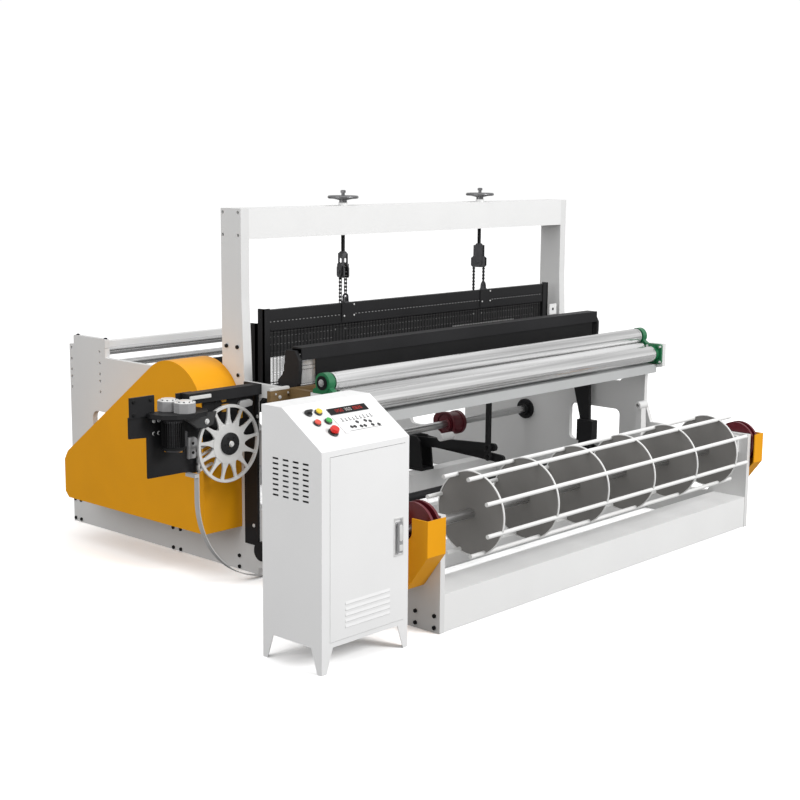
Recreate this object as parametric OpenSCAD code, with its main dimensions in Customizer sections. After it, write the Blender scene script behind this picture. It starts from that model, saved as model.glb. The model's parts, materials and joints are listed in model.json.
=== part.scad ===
// Wire mesh weaving machine: a rapier loom for wire with its take-up stand and control cabinet.
// X runs along the rollers, Y from the take-up side to the back, Z up from the floor.
// The working coordinates start at the outer face of the left side frame; place() moves the
// whole machine so that its own origin is the middle of its footprint.

/* [Side frames] */
// Width over both side frames
frame_w = 2598; // [2300:1:3000]
// Thickness of a side frame plate
plate_t = 30; // [20:1:40]
// Height of the side frame's top edge
plate_top = 950; // [940:1:980]
// Rear end of the side frames
frame_back = 2780; // [2740:1:2860]
// Height of the raised rear part of a side frame
rear_top = 1000; // [990:1:1020]
// Height of the gantry posts
post_top = 1780; // [1740:1:1900]
// Front face of the gantry posts
post_front = 1341; // [1335:1:1345]
// Depth of a gantry post, front to back
post_depth = 146; // [130:1:160]
// Width of a gantry post, across the machine
post_w = 52; // [40:1:60]

/* [Gantry] */
// Height of the gantry beam's section
beam_h = 148; // [130:1:160]
// Wall of the gantry beam
beam_wall = 8; // [6:1:12]
// Left spindle, measured from the left side frame
spindle_x1 = 748; // [600:1:900]
// Right spindle, measured from the left side frame
spindle_x2 = 1850; // [1700:1:2000]
// Diameter of a spindle
spindle_d = 18; // [14:1:22]
// Diameter of a handwheel
handwheel_d = 160; // [140:1:200]

/* [Rollers] */
// Radius of the breast roller
breast_r = 44; // [38:1:46]
// Height of the breast roller's axis
breast_z = 1004; // [1002:1:1012]
// Radius of the middle roller
middle_r = 28; // [20:1:29]
// Radius of the take-up roller
takeup_r = 46; // [40:1:48]
// Radius of the upper warp roller
warp_r1 = 24; // [20:1:27]
// Radius of the lower warp roller
warp_r2 = 21; // [16:1:24]

/* [Shedding] */
// Travel of each heald frame
shed = 75; // [50:1:78]
// Depth between the two heald frames
frame_pitch = 57; // [50:1:58]
// Number of healds in a frame
heald_count = 96; // [40:1:110]
// Pitch of the chain
chain_pitch = 19; // [16:1:20]

/* [Sley] */
// Distance from the left side frame's outer face to the sley's end
sley_in_left = 67; // [66:1:110]
// Distance from the right side frame's outer face to the sley's end
sley_in_right = 89; // [66:1:110]
// Number of reed gaps
reed_gaps = 110; // [40:1:118]
// Depth of the reed between its baulks
reed_h = 112; // [90:1:116]

/* [Rapier head] */
// Radius of the rapier wheel
wheel_r = 186; // [170:1:188]
// Number of spokes
spoke_count = 13; // [8:1:16]
// Thickness of the rapier wheel
wheel_t = 26; // [20:1:30]

/* [Take-up reel] */
// Height of the reel's axis
reel_z = 464; // [450:1:480]
// Radius of a reel disc
disc_r = 193; // [170:1:200]
// Number of discs
disc_count = 6; // [3:1:8]
// Number of rods
rod_count = 8; // [6:1:12]
// Diameter of a rod
rod_d = 20; // [16:1:24]
// Diameter of the reel shaft
reel_shaft_d = 45; // [40:1:50]

/* [Take-up stand] */
// Depth of a stand column
column_d = 205; // [180:1:230]
// Height of a stand column
column_h = 526; // [500:1:560]
// Height of the stand's low rail and front beam
rail_h = 172; // [140:1:190]

/* [Control cabinet] */
// Width of the cabinet
cab_w = 500; // [460:1:520]
// Depth of the cabinet
cab_d = 345; // [330:1:400]
// Height of the cabinet
cab_h = 1052; // [1020:1:1100]
// Height of the cabinet's front edge, below the sloping panel
cab_front_h = 902; // [880:1:930]
// Height of the feet
foot_h = 105; // [80:1:120]
// Sheet thickness of the cabinet
sheet = 2; // [1.5:0.5:3]

/* [Hidden] */
$fn = 48;

run = 0.3;          // running gap between faces on different bodies
fit = 0.05;         // radial running fit of a journal in its bearing
seat = 0.3;         // gap of a piece beside what carries it

inner_l = plate_t;                  // inner face of the left side frame
inner_r = frame_w - plate_t;        // inner face of the right side frame
mid_x = frame_w / 2;
span = frame_w - 2 * plate_t;

// where the machine's own origin lies in the working coordinates
cab_x = -769;
cab_y = -4;
stand_l = -59;                  // outer face of the left stand plate
stand_r = frame_w - 46;         // outer face of the right stand plate
guard_r_x = stand_r + 89;       // outer face of the right end guard
reel_y = column_d / 2;
origin_x = (cab_x + guard_r_x) / 2;
origin_y = (reel_y - disc_r + frame_back) / 2;

// axes of the shafts, as [y, z]
breast_y = 780;
middle = [734, 942];
takeup = [662, 912];
crank = [1588, 472];
rocker = [1080, 258];
motor_axis = [1945, 392];
warp1 = [frame_back - 170, 965];
warp2 = [frame_back - 280, 907];
treadle_pivot = [1965, 296];

module place() { translate([-origin_x, -origin_y, 0]) children(); }

// an outline drawn as (y, z) and given a thickness t along X, from x
module along_x(x, t) { translate([x, 0, 0]) rotate([90, 0, 90]) linear_extrude(t) children(); }

// an outline drawn as (x, z) and given a thickness t along Y, from y
module along_y(y, t) { translate([0, y + t, 0]) rotate([90, 0, 0]) linear_extrude(t) children(); }

module box(a, b) { translate(a) cube(b - a); }

// a round bar along X from x1 to x2 about an axis [y, z]
module bar_x(axis, x1, x2, r) {
    translate([x1, axis[0], axis[1]]) rotate([0, 90, 0]) cylinder(h = x2 - x1, r = r);
}

module bar_y(x, z, y1, y2, r) { translate([x, y1, z]) rotate([-90, 0, 0]) cylinder(h = y2 - y1, r = r); }

module bar_z(x, y, z1, z2, r) { translate([x, y, z1]) cylinder(h = z2 - z1, r = r); }

// a rectangle from corner a to corner b with rounded corners
module round_rect(a, b, r) {
    translate([a[0] + r, a[1]]) square([b[0] - a[0] - 2 * r, b[1] - a[1]]);
    translate([a[0], a[1] + r]) square([b[0] - a[0], b[1] - a[1] - 2 * r]);
    for (x = [a[0] + r, b[0] - r]) for (y = [a[1] + r, b[1] - r]) translate([x, y]) circle(r);
}

// a rectangle from corner a to corner b with its corners cut off at 45 degrees
module cut_rect(a, b, c) {
    polygon([[a[0] + c, a[1]], [b[0] - c, a[1]], [b[0], a[1] + c], [b[0], b[1] - c],
             [b[0] - c, b[1]], [a[0] + c, b[1]], [a[0], b[1] - c], [a[0], a[1] + c]]);
}

// ---------------------------------------------------------------- side frames
post_back = post_front + post_depth;
nose_front = 600;           // front of the nose that holds the take-up roller
nose_top = 972;
nose_bottom = 840;
throat_y = 715;             // front edge of the plate below the nose
foot_front = 560;
foot_top = 505;
rear_step = frame_back - 328;   // where the plate rises to its rear part
window_low = [[885, 330], [1250, 553]];
window_high = [[862, 724], [1250, 886]];
window_rear = [[2090, 250], [frame_back - 203, 653]];
motor_hole_r = 92;
bolt_hole_r = 8;
rear_bolt_y = [frame_back - 277, frame_back - 18];
rear_bolt_z = [761, 820, 859, 919, 980];
shaft_hole_r = 34;

module side_outline() {
    polygon([
        [foot_front, 0], [frame_back, 0], [frame_back, rear_top], [rear_step, rear_top],
        [rear_step, plate_top], [post_back, plate_top], [post_front - 16, plate_top],
        [nose_front + 104, plate_top], [nose_front + 94, nose_top], [nose_front, nose_top],
        [nose_front, nose_bottom], [throat_y, nose_bottom - 24], [throat_y, 630],
        [throat_y - 47, foot_top], [foot_front, foot_top]
    ]);
}

module post_outline() {
    polygon([[post_back, plate_top - 120], [post_back, post_top], [post_front, post_top],
             [post_front, 1345], [post_front - 16, plate_top], [post_front - 16, plate_top - 120]]);
}

module side_frame(motor_side) {
    difference() {
        union() {
            along_x(0, plate_t) difference() {
                side_outline();
                round_rect(window_low[0], window_low[1], 34);
                cut_rect(window_high[0], window_high[1], 30);
                round_rect(window_rear[0], window_rear[1], 40);
                for (a = [crank, rocker]) translate(a) circle(shaft_hole_r);
                for (y = rear_bolt_y) for (z = rear_bolt_z) translate([y, z]) circle(bolt_hole_r);
                if (motor_side) translate(motor_axis) circle(motor_hole_r);
            }
            along_x(0, post_w) post_outline();
        }
        // bolt holes of the post's joint to the beam
        for (z = [1652, 1760]) for (y = [post_front + 20, post_back - 15])
            bar_x([y, z], -1, post_w + 1, bolt_hole_r);
    }
}

module side_frame_left() {
    color("gainsboro") difference() {
        side_frame(true);
        // the notch that the race board's front strip lies in
        box([-1, board_y[0] - seat, race_z[0] - seat], [plate_t + 1, board_y[1] + seat, plate_top + 1]);
    }
}

module side_frame_right() {
    color("gainsboro") translate([frame_w, 0, 0]) mirror([1, 0, 0]) side_frame(false);
}

// ---------------------------------------------------------------- gantry beam and spindles
beam_bottom = post_top - beam_h;
spindle_y = post_front + 59;
hub_r = 24;
hub_h = 14;
spindle_xs = [spindle_x1, spindle_x2];

module gantry_beam() {
    color("whitesmoke") difference() {
        union() {
            difference() {
                box([post_w, post_front, beam_bottom], [frame_w - post_w, post_back, post_top]);
                box([post_w + beam_wall, post_front + beam_wall, beam_bottom + beam_wall],
                    [frame_w - post_w - beam_wall, post_back + 1, post_top - beam_wall]);
            }
            for (x = spindle_xs) bar_z(x, spindle_y, beam_bottom, post_top + hub_h, hub_r);
            for (x = [frame_w * 0.25, mid_x, frame_w * 0.75])
                box([x - beam_wall / 2, post_front, beam_bottom], [x + beam_wall / 2, post_back, post_top]);
        }
        for (x = spindle_xs) bar_z(x, spindle_y, beam_bottom - 1, post_top + hub_h + 1,
            spindle_d / 2 + run);
    }
}

wheel_z = post_top + 42;        // mid height of a handwheel's rim
rod_top = post_top + 78;
fork_bridge = 1516;
spoke_w = 18;                   // width of a handwheel's spoke
rod_bottom = fork_bridge + 4;

module handwheel(x) {
    rim_r = handwheel_d / 2;
    translate([x, spindle_y, 0]) {
        bar_z(0, 0, rod_bottom, rod_top, spindle_d / 2);
        translate([0, 0, post_top + hub_h + run]) cylinder(h = 16, r = 20);
        translate([0, 0, wheel_z - 18]) cylinder(h = 26, r1 = 16, r2 = 24, $fn = 48);
        translate([0, 0, wheel_z]) rotate_extrude() translate([rim_r - 8, 0]) circle(8);
        // dished spokes, from the low hub up to the rim
        for (k = [0:4]) rotate([0, 0, k * 72]) along_y(-spoke_w / 2, spoke_w)
            polygon([[10, wheel_z - 18], [rim_r - 8, wheel_z - 4],
                     [rim_r - 8, wheel_z + 4], [10, wheel_z - 8]]);
        translate([0, 0, rod_top - 14]) cylinder(h = 12, r = spindle_d / 2 + 5, $fn = 6);
    }
}

module handwheel_left() { color("silver") handwheel(spindle_x1); }
module handwheel_right() { color("silver") handwheel(spindle_x2); }

// a fork hung on the spindle, with the sprocket that carries a pair of chain runs
sprocket_z = 1438;
sprocket_r = 30;                // pitch radius
sprocket_w = 7;
fork_gap = 20;
fork_t = 6;
fork_neck = 26;                 // half width of the fork's upper part
fork_jaw = 42;                  // half width round the sprocket
run_y = frame_pitch / 2;
run_x = sqrt(sprocket_r * sprocket_r - run_y * run_y);
turn_left = atan2(run_y, run_x);        // turns the fork so that each run meets its own frame
turn_right = -turn_left;
pin_r = 6;

module fork_plate() {
    top = fork_bridge + 18;
    low = sprocket_z - 30;
    polygon([[-fork_neck, top], [fork_neck, top], [fork_neck, sprocket_z + 34],
             [fork_jaw, sprocket_z + 22], [fork_jaw, low + 10], [fork_jaw - 10, low],
             [10 - fork_jaw, low], [-fork_jaw, low + 10], [-fork_jaw, sprocket_z + 22],
             [-fork_neck, sprocket_z + 34]]);
}

module chain_hanger(x, turn) {
    translate([x, spindle_y, 0]) rotate([0, 0, turn]) difference() {
        union() {
            for (s = [-1, 1]) along_y(s * (fork_gap + fork_t) / 2 - fork_t / 2, fork_t) difference() {
                fork_plate();
                translate([0, fork_bridge - 19]) round_rect([-15, -12], [15, 12], 7);
                translate([0, sprocket_z]) circle(pin_r);
            }
            box([-fork_neck + 4, -fork_gap / 2, fork_bridge],
                [fork_neck - 4, fork_gap / 2, fork_bridge + 18]);
            bar_y(0, sprocket_z, -fork_gap / 2 - fork_t - 3, fork_gap / 2 + fork_t + 3, pin_r);
        }
        bar_z(0, 0, fork_bridge - 30, fork_bridge + 30, spindle_d / 2 + run);
    }
}

module chain_hangers() {
    color("dimgray") {
        chain_hanger(spindle_x1, turn_left);
        chain_hanger(spindle_x2, turn_right);
    }
}

tooth_count = 12;

module sprocket(x, turn) {
    root_r = sprocket_r - 9;
    translate([x, spindle_y, sprocket_z]) rotate([0, 0, turn]) rotate([-90, 0, 0]) difference() {
        union() {
            translate([0, 0, -sprocket_w / 2]) cylinder(h = sprocket_w, r = root_r - 2);
            for (k = [0:tooth_count - 1]) rotate([0, 0, k * 360 / tooth_count])
                translate([0, 0, -sprocket_w / 2]) linear_extrude(sprocket_w)
                    polygon([[root_r - 5, -4], [root_r + 2, -2], [root_r + 2, 2], [root_r - 5, 4]]);
            translate([0, 0, -fork_gap / 2 + run]) cylinder(h = fork_gap - 2 * run, r = 11);
        }
        translate([0, 0, -fork_gap]) cylinder(h = 2 * fork_gap, r = pin_r + fit);
    }
}

module sprocket_left() { color("gray") sprocket(spindle_x1, turn_left); }
module sprocket_right() { color("gray") sprocket(spindle_x2, turn_right); }

// ---------------------------------------------------------------- heald frames
heald_l = frame_w - 318;        // length of a heald frame
heald_x = mid_x - heald_l / 2;
heald_t = 30;                   // depth of a heald frame
heald_h = 440;
front_rail = 104;               // height of each frame's top rail
rear_rail = 140;
low_rail = 62;
front_frame_top = 1280;
rear_frame_top = front_frame_top - shed;
front_frame_y = spindle_y - run_y;
rear_frame_y = spindle_y + run_y;
heald_w = 3;
link_x1 = 1928;                 // middle of the front frame's link rod
link_x2 = 2005;
link_t = 20;
link_eye = 12;                  // radius of the open eye at the foot of a link rod
lever_end_y = 1400;
lever_lift = 46;                // height of a lever's tip above its pivot when its frame is up

module heald_frame(y, top, top_rail, link_x, eye_z) {
    low = top - heald_h;
    y0 = y - heald_t / 2;
    heald_gap = (heald_l - 2 * heald_t) / (heald_count + 1);
    difference() {
        union() {
            along_y(y0, heald_t) difference() {
                translate([heald_x, low]) square([heald_l, heald_h]);
                translate([heald_x + heald_t, low + low_rail])
                    square([heald_l - 2 * heald_t, heald_h - top_rail - low_rail]);
            }
            for (k = [1:heald_count])
                box([heald_x + heald_t + k * heald_gap - heald_w / 2, y - 1, low + low_rail],
                    [heald_x + heald_t + k * heald_gap + heald_w / 2, y + 1, top - top_rail]);
            box([link_x - link_t / 2, y - 12, eye_z], [link_x + link_t / 2, y + 12, low]);
            bar_x([y, eye_z], link_x - link_t / 2, link_x + link_t / 2, link_eye + 12);
        }
        bar_x([y, eye_z], link_x - link_t, link_x + link_t, link_eye);
        // the groove along the front of the top rail
        box([heald_x + heald_t, y0 - 1, top - 56], [heald_x + heald_l - heald_t, y0 + 2, top - 50]);
    }
}

chain_roller_r = 6;

// one run of roller chain, hanging from the sprocket's side down to its frame
module chain_run(x, y, turn, top_z, low_z) {
    n = floor((top_z - low_z - 14) / chain_pitch);
    foot = top_z - n * chain_pitch;
    translate([x, y, 0]) rotate([0, 0, turn]) {
        for (k = [0:n]) bar_y(0, top_z - k * chain_pitch, -5, 5, chain_roller_r);
        for (k = [0:n - 1]) for (s = [-1, 1]) {
            off = k % 2 == 0 ? 6 : 4.4;
            along_y(s * off - 0.8, 1.6) {
                translate([-3.5, foot + k * chain_pitch]) square([7, chain_pitch]);
                for (e = [0, 1]) translate([0, foot + (k + e) * chain_pitch]) circle(chain_roller_r + 0.5);
            }
        }
        // the lug that holds the run to the top rail
        box([-6, -9, low_z], [6, 9, foot]);
    }
}

module heald_frame_front() {
    color("dimgray") {
        heald_frame(front_frame_y, front_frame_top, front_rail, link_x1, treadle_pivot[1] + lever_lift);
        chain_run(spindle_x1 - run_x, front_frame_y, turn_left, sprocket_z, front_frame_top);
        chain_run(spindle_x2 + run_x, front_frame_y, turn_right, sprocket_z, front_frame_top);
    }
}

module heald_frame_rear() {
    color("dimgray") {
        heald_frame(rear_frame_y, rear_frame_top, rear_rail, link_x2, treadle_pivot[1] + lever_lift - shed);
        chain_run(spindle_x1 + run_x, rear_frame_y, turn_left, sprocket_z, rear_frame_top);
        chain_run(spindle_x2 - run_x, rear_frame_y, turn_right, sprocket_z, rear_frame_top);
    }
}

// ---------------------------------------------------------------- treadles
lever_t = 18;
lever_h = 64;                   // depth of a lever at its pivot
lever_tip_h = 46;               // and at its tip
lever_front = 1342;             // where both levers end, past the link rods
box_w = 108;
box_x = link_x1 - 4;            // the box stands round the front lever's pivot
pivot_r = 14;
lever_x = [link_x1 + link_t / 2 + 1, link_x2 + link_t / 2 + 1];     // left face of each lever

// a lever from its pivot past the foot of a link rod; the pin in the eye is left with play
module treadle(x, y_pin, lift) {
    pin = [y_pin, treadle_pivot[1] + lift];
    slope = lift / (treadle_pivot[0] - y_pin);
    tip = [lever_front, treadle_pivot[1] + slope * (treadle_pivot[0] - lever_front)];
    difference() {
        union() {
            along_x(x, lever_t) polygon([
                [treadle_pivot[0], treadle_pivot[1] + lever_h / 2], tip + [0, lever_tip_h / 2],
                tip - [0, lever_tip_h / 2], [treadle_pivot[0], treadle_pivot[1] - lever_h / 2]]);
            bar_x(treadle_pivot, x, x + lever_t, lever_h / 2);
            bar_x(tip, x, x + lever_t, lever_tip_h / 2);
            bar_x(pin, x - link_t - 5, x, 7);
        }
        bar_x(treadle_pivot, x - 1, x + lever_t + 1, pivot_r + fit);
        bar_x(tip, x - 1, x + lever_t + 1, 7);
    }
}

module treadle_front() {
    color([0.16, 0.16, 0.17]) treadle(lever_x[0], front_frame_y, lever_lift);
}

module treadle_rear() {
    color([0.16, 0.16, 0.17]) treadle(lever_x[1], rear_frame_y, lever_lift - shed);
}

mid_member = [1820, 1905];
member_h = 135;

module treadle_box() {
    y0 = mid_member[0] + 20;
    y1 = treadle_pivot[0] + 66;
    color([0.14, 0.14, 0.15]) difference() {
        union() {
            for (x = [box_x - box_w / 2, box_x + box_w / 2 - 12]) along_x(x, 12)
                polygon([[y0, member_h], [y1, member_h], [y1, 330], [y1 - 40, 346],
                         [y0 + 50, 346], [y0 + 20, 320]]);
            box([box_x - box_w / 2 - 5, y0, member_h], [box_x + box_w / 2 + 5, y1, member_h + 14]);
            bar_x(treadle_pivot, box_x - box_w / 2 - 14, lever_x[1] + lever_t + 16, pivot_r);
            // spacers that keep each lever in its place on the pivot
            bar_x(treadle_pivot, box_x - box_w / 2, lever_x[0] - run, 22);
            bar_x(treadle_pivot, lever_x[0] + lever_t + run, lever_x[1] - run, 22);
            bar_x(treadle_pivot, lever_x[1] + lever_t + run, lever_x[1] + lever_t + 10, 22);
        }
        box([box_x - 12, y1 - 60, member_h - 1], [box_x + 12, y1 - 30, member_h + 20]);
    }
}

// ---------------------------------------------------------------- cross members
members = [[[650, 714], [4, 124]], [[1345, 1400], [4, 84]], [mid_member, [0, member_h]],
           [[frame_back - 85, frame_back - 5], [4, 140]],
           [[frame_back - 68, frame_back - 4], [930, rear_top - 2]]];
member_wall = 5;

module cross_members() {
    color("whitesmoke") for (m = members) difference() {
        box([inner_l, m[0][0], m[1][0]], [inner_r, m[0][1], m[1][1]]);
        // folded channel, open towards the back
        box([inner_l + member_wall, m[0][0] + member_wall, m[1][0] + member_wall],
            [inner_r - member_wall, m[0][1] + 1, m[1][1] - member_wall]);
    }
}

breast_beam_y = [640, 712];
breast_beam_z = [803, 852];

module breast_beam() {
    t = 8;
    color("whitesmoke") difference() {
        box([inner_l, breast_beam_y[0], breast_beam_z[0]], [inner_r, breast_beam_y[1], breast_beam_z[1]]);
        box([inner_l - 1, breast_beam_y[0] + t, breast_beam_z[0] - 1],
            [inner_r + 1, breast_beam_y[1] + 1, breast_beam_z[1] - t]);
    }
}

// ---------------------------------------------------------------- rollers and their bearings
journal_r = 17.5;

module roller(axis, r, x1, x2, j1, j2, jr) {
    difference() {
        union() {
            bar_x(axis, x1, x2, r);
            bar_x(axis, j1, j2, jr);
        }
        // a turned groove near each end
        for (x = [x1 + 14, x2 - 18]) translate([x, axis[0], axis[1]]) rotate([0, 90, 0]) difference() {
            cylinder(h = 4, r = r + 1);
            translate([0, 0, -1]) cylinder(h = 6, r = r - 2);
        }
    }
}

pillow_w = 38;
pillow_foot = 68;

// a pillow block standing on the side frame, its bore along X
module pillow_block(x, axis, base_z) {
    difference() {
        union() {
            bar_x(axis, x, x + pillow_w, 47);
            along_x(x + 4, pillow_w - 8) polygon([
                [axis[0] - pillow_foot, base_z], [axis[0] + pillow_foot, base_z],
                [axis[0] + pillow_foot, base_z + 16], [axis[0] + 44, base_z + 30],
                [axis[0] + 38, axis[1] + 18], [axis[0] - 38, axis[1] + 18],
                [axis[0] - 44, base_z + 30], [axis[0] - pillow_foot, base_z + 16]]);
            bar_x(axis, x - 4, x + pillow_w + 4, 27);
        }
        bar_x(axis, x - 10, x + pillow_w + 10, journal_r + fit);
    }
}

module breast_roller_bearings() {
    axis = [breast_y, breast_z];
    color("seagreen") {
        pillow_block((plate_t - pillow_w) / 2, axis, plate_top);
        pillow_block(frame_w - (plate_t + pillow_w) / 2, axis, plate_top);
    }
}

module breast_roller() {
    end = (plate_t + pillow_w) / 2 + 12;
    color("silver") roller([breast_y, breast_z], breast_r, end, frame_w - end,
        (plate_t - pillow_w) / 2 - 8, frame_w - (plate_t - pillow_w) / 2 + 8, journal_r);
}

// a square flange bearing on the inner face of a side frame, facing inwards along dir
module flange_bearing(x, axis, dir, bore, size) {
    translate([x, axis[0], axis[1]]) rotate([0, dir * 90, 0]) difference() {
        union() {
            linear_extrude(12) round_rect([-size / 2, -size / 2], [size / 2, size / 2], 16);
            cylinder(h = 30, r1 = size * 0.4, r2 = size * 0.34, $fn = 48);
            cylinder(h = 36, r = size * 0.26);
            for (u = [-1, 1]) for (v = [-1, 1])
                translate([u * size * 0.36, v * size * 0.36, 0]) cylinder(h = 20, r = 9, $fn = 6);
        }
        translate([0, 0, -1]) cylinder(h = 60, r = bore);
    }
}

takeup_flange = 116;

module take_up_bearings() {
    color("seagreen") {
        flange_bearing(inner_l, takeup, 1, journal_r + fit, takeup_flange);
        flange_bearing(inner_r, takeup, -1, journal_r + fit, takeup_flange);
    }
}

module take_up_roller() {
    end = 44;
    color("silver")
        roller(takeup, takeup_r, inner_l + end, inner_r - end, inner_l + 2, inner_r - 2, journal_r);
}

// the middle roller turns in two small holders bolted to the side frames
middle_j = 8;

module middle_roller() {
    color("silver") roller(middle, middle_r, inner_l + 26, inner_r - 26, inner_l + 3, inner_r - 3,
        middle_j);
}

shaft_r = 22.5;
flange_round_r = 62;

module round_flange(x, axis, dir) {
    translate([x, axis[0], axis[1]]) rotate([0, dir * 90, 0]) difference() {
        union() {
            cylinder(h = 14, r = flange_round_r);
            cylinder(h = 34, r = 38);
            for (k = [0:3]) rotate([0, 0, 45 + k * 90]) translate([50, 0, 0])
                cylinder(h = 22, r = 8, $fn = 6);
        }
        translate([0, 0, -1]) cylinder(h = 60, r = shaft_r + fit);
    }
}

module shaft_bearings() {
    color([0.13, 0.13, 0.14]) {
        for (a = [crank, rocker]) {
            round_flange(inner_l, a, 1);
            round_flange(inner_r, a, -1);
        }
        // holders of the middle roller
        for (s = [0, 1]) translate([s == 0 ? inner_l : inner_r - 22, 0, 0]) difference() {
            box([0, middle[0] - 12, middle[1] - 22], [22, middle[0] + 16, plate_top - 2]);
            bar_x(middle, -1, 23, middle_j + fit);
        }
    }
}

// ---------------------------------------------------------------- warp rollers
bracket_t = 14;
rail_bracket = [[rear_step, frame_back - 40], [rear_top, rear_top + 52]];

module warp_roller_brackets() {
    color("whitesmoke") {
        for (s = [0, 1]) {
            x = s == 0 ? inner_l : inner_r - bracket_t;
            along_x(x, bracket_t) difference() {
                cut_rect([rear_step - 12, 745], [frame_back - 5, rear_top - 76], 22);
                translate(warp2) circle(journal_r + fit);
                for (y = rear_bolt_y) for (z = [761, 820, 859]) translate([y, z]) circle(bolt_hole_r);
            }
            along_x(x, bracket_t) difference() {
                translate([warp1[0] - 50, rear_top - 76]) square([100, 76]);
                translate(warp1) circle(journal_r + fit);
            }
            // the angle on the rear top edge of the side frame
            along_x(s == 0 ? 0 : inner_r, plate_t)
                cut_rect([rail_bracket[0][0], rail_bracket[1][0]],
                         [rail_bracket[0][1], rail_bracket[1][1]], 6);
        }
    }
}

module warp_roller(axis, r) {
    roller(axis, r, inner_l + bracket_t + 8, inner_r - bracket_t - 8, inner_l + 1, inner_r - 1, journal_r);
}

module warp_roller_upper() { color("silver") warp_roller(warp1, warp_r1); }
module warp_roller_lower() { color("silver") warp_roller(warp2, warp_r2); }

module warp_bar() {
    color([0.1, 0.1, 0.11]) box([inner_l, rear_step - 52, 850], [inner_r, rear_step - 26, 888]);
}

// ---------------------------------------------------------------- drive
guard_x = -242;
guard_t = 3;
guard_front = 1345;
guard_low = 225;
guard_back = 2500;
guard_hood = [1600, 797];
guard_hood_r = 250;
guard_heel_z = 458;
slant = [535, 740] / norm([535, 740]);      // unit normal of the sloping face

// the guard's outline, pulled in by d
module guard_outline(d) {
    tangent = guard_hood + (guard_hood_r - d) * slant;
    heel_y = guard_back - d;
    heel_z = tangent[1] - (heel_y - tangent[0]) * slant[0] / slant[1];
    translate(guard_hood) circle(guard_hood_r - d, $fn = 96);
    polygon([guard_hood, [guard_hood[0] - guard_hood_r + d, guard_hood[1]],
             [guard_front + 5 + d, guard_low + d], [heel_y - 30, guard_low + d],
             [heel_y, guard_low + d + 30], [heel_y, heel_z - 26], [heel_y - 30, heel_z + 22], tangent]);
}

module drive_guard() {
    color("orange") difference() {
        along_x(guard_x, -guard_x - seat) guard_outline(0);
        along_x(guard_x + guard_t, -guard_x) guard_outline(guard_t);
    }
}

pulley_r = 205;
motor_pulley_r = 62;
pulley_w = 60;
pulley_x = -96;                 // outer face of both pulleys
belt_t = 8;
motor_l = 320;
motor_r = 100;

module grooved_pulley(axis, r, bore) {
    difference() {
        union() {
            bar_x(axis, pulley_x, pulley_x + pulley_w, r);
        }
        for (k = [0:2]) translate([pulley_x + 12 + k * 16, axis[0], axis[1]]) rotate([0, 90, 0])
            rotate_extrude() polygon([[r - 7, -2], [r + 1, -5], [r + 1, 5], [r - 7, 2]]);
        bar_x(axis, pulley_x - 1, pulley_x + pulley_w + 1, bore);
    }
}

module main_pulley() {
    color("dimgray") difference() {
        grooved_pulley(crank, pulley_r, shaft_r);
        for (k = [0:5]) translate([0, crank[0], crank[1]]) rotate([k * 60, 0, 0])
            bar_x([120, 0], pulley_x - 1, pulley_x + pulley_w + 1, 40);
    }
}

motor_shaft_r = 19;

module motor_pulley() {
    color("dimgray") difference() {
        union() {
            grooved_pulley(motor_axis, motor_pulley_r, motor_shaft_r);
            bar_x(motor_axis, pulley_x, plate_t + 30, motor_shaft_r);
        }
        bar_x(motor_axis, pulley_x - 1, pulley_x + 3, 6);
    }
}

belt_gap = 0.6;

function arc_points(c, r, a1, a2, n) =
    [for (k = [0:n]) c + r * [cos(a1 + (a2 - a1) * k / n), sin(a1 + (a2 - a1) * k / n)]];

// an outline round the large circle a and the small circle b; its straight runs touch both
function wrap_points(a, ra, b, rb) =
    let (v = b - a,
         turn = atan2(v[1], v[0]),
         lean = acos((ra - rb) / norm(v)))
    concat(arc_points(b, rb, turn - lean, turn + lean, 16),
           arc_points(a, ra, turn + lean, turn - lean + 360, 40));

// the belts' outline round both pulleys, grown by g
function belt_points(g) = wrap_points(crank, pulley_r + g, motor_axis, motor_pulley_r + g);

module drive_belt() {
    color([0.08, 0.08, 0.08]) along_x(pulley_x + 6, pulley_w - 12) difference() {
        polygon(belt_points(belt_t));
        polygon(belt_points(belt_gap));
    }
}

module drive_motor() {
    color("steelblue") difference() {
        union() {
            bar_x(motor_axis, plate_t - 8, plate_t, motor_hole_r - 2);
            bar_x(motor_axis, plate_t, plate_t + 16, motor_r + 26);
            bar_x(motor_axis, plate_t + 16, plate_t + motor_l, motor_r - 12);
            for (k = [0:23]) translate([0, motor_axis[0], motor_axis[1]]) rotate([k * 15, 0, 0])
                box([plate_t + 30, -2, 0], [plate_t + motor_l - 70, 2, motor_r]);
            bar_x(motor_axis, plate_t + motor_l - 66, plate_t + motor_l + 20, motor_r);
            box([plate_t + 60, motor_axis[0] - 55, motor_axis[1] + 60],
                [plate_t + 190, motor_axis[0] + 55, motor_axis[1] + 142]);
        }
        bar_x(motor_axis, plate_t - 20, plate_t + 40, motor_shaft_r + fit);
    }
}

cam_x = [1800, 1881];
cam_t = 26;
cam_r = 70;
cam_lobes = [[[48, 12], 54], [[34, -24], 50]];   // centre and radius of each cam's lobe

module crank_shaft() {
    color("silver") bar_x(crank, pulley_x - 10, frame_w - 4, shaft_r);
}

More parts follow.
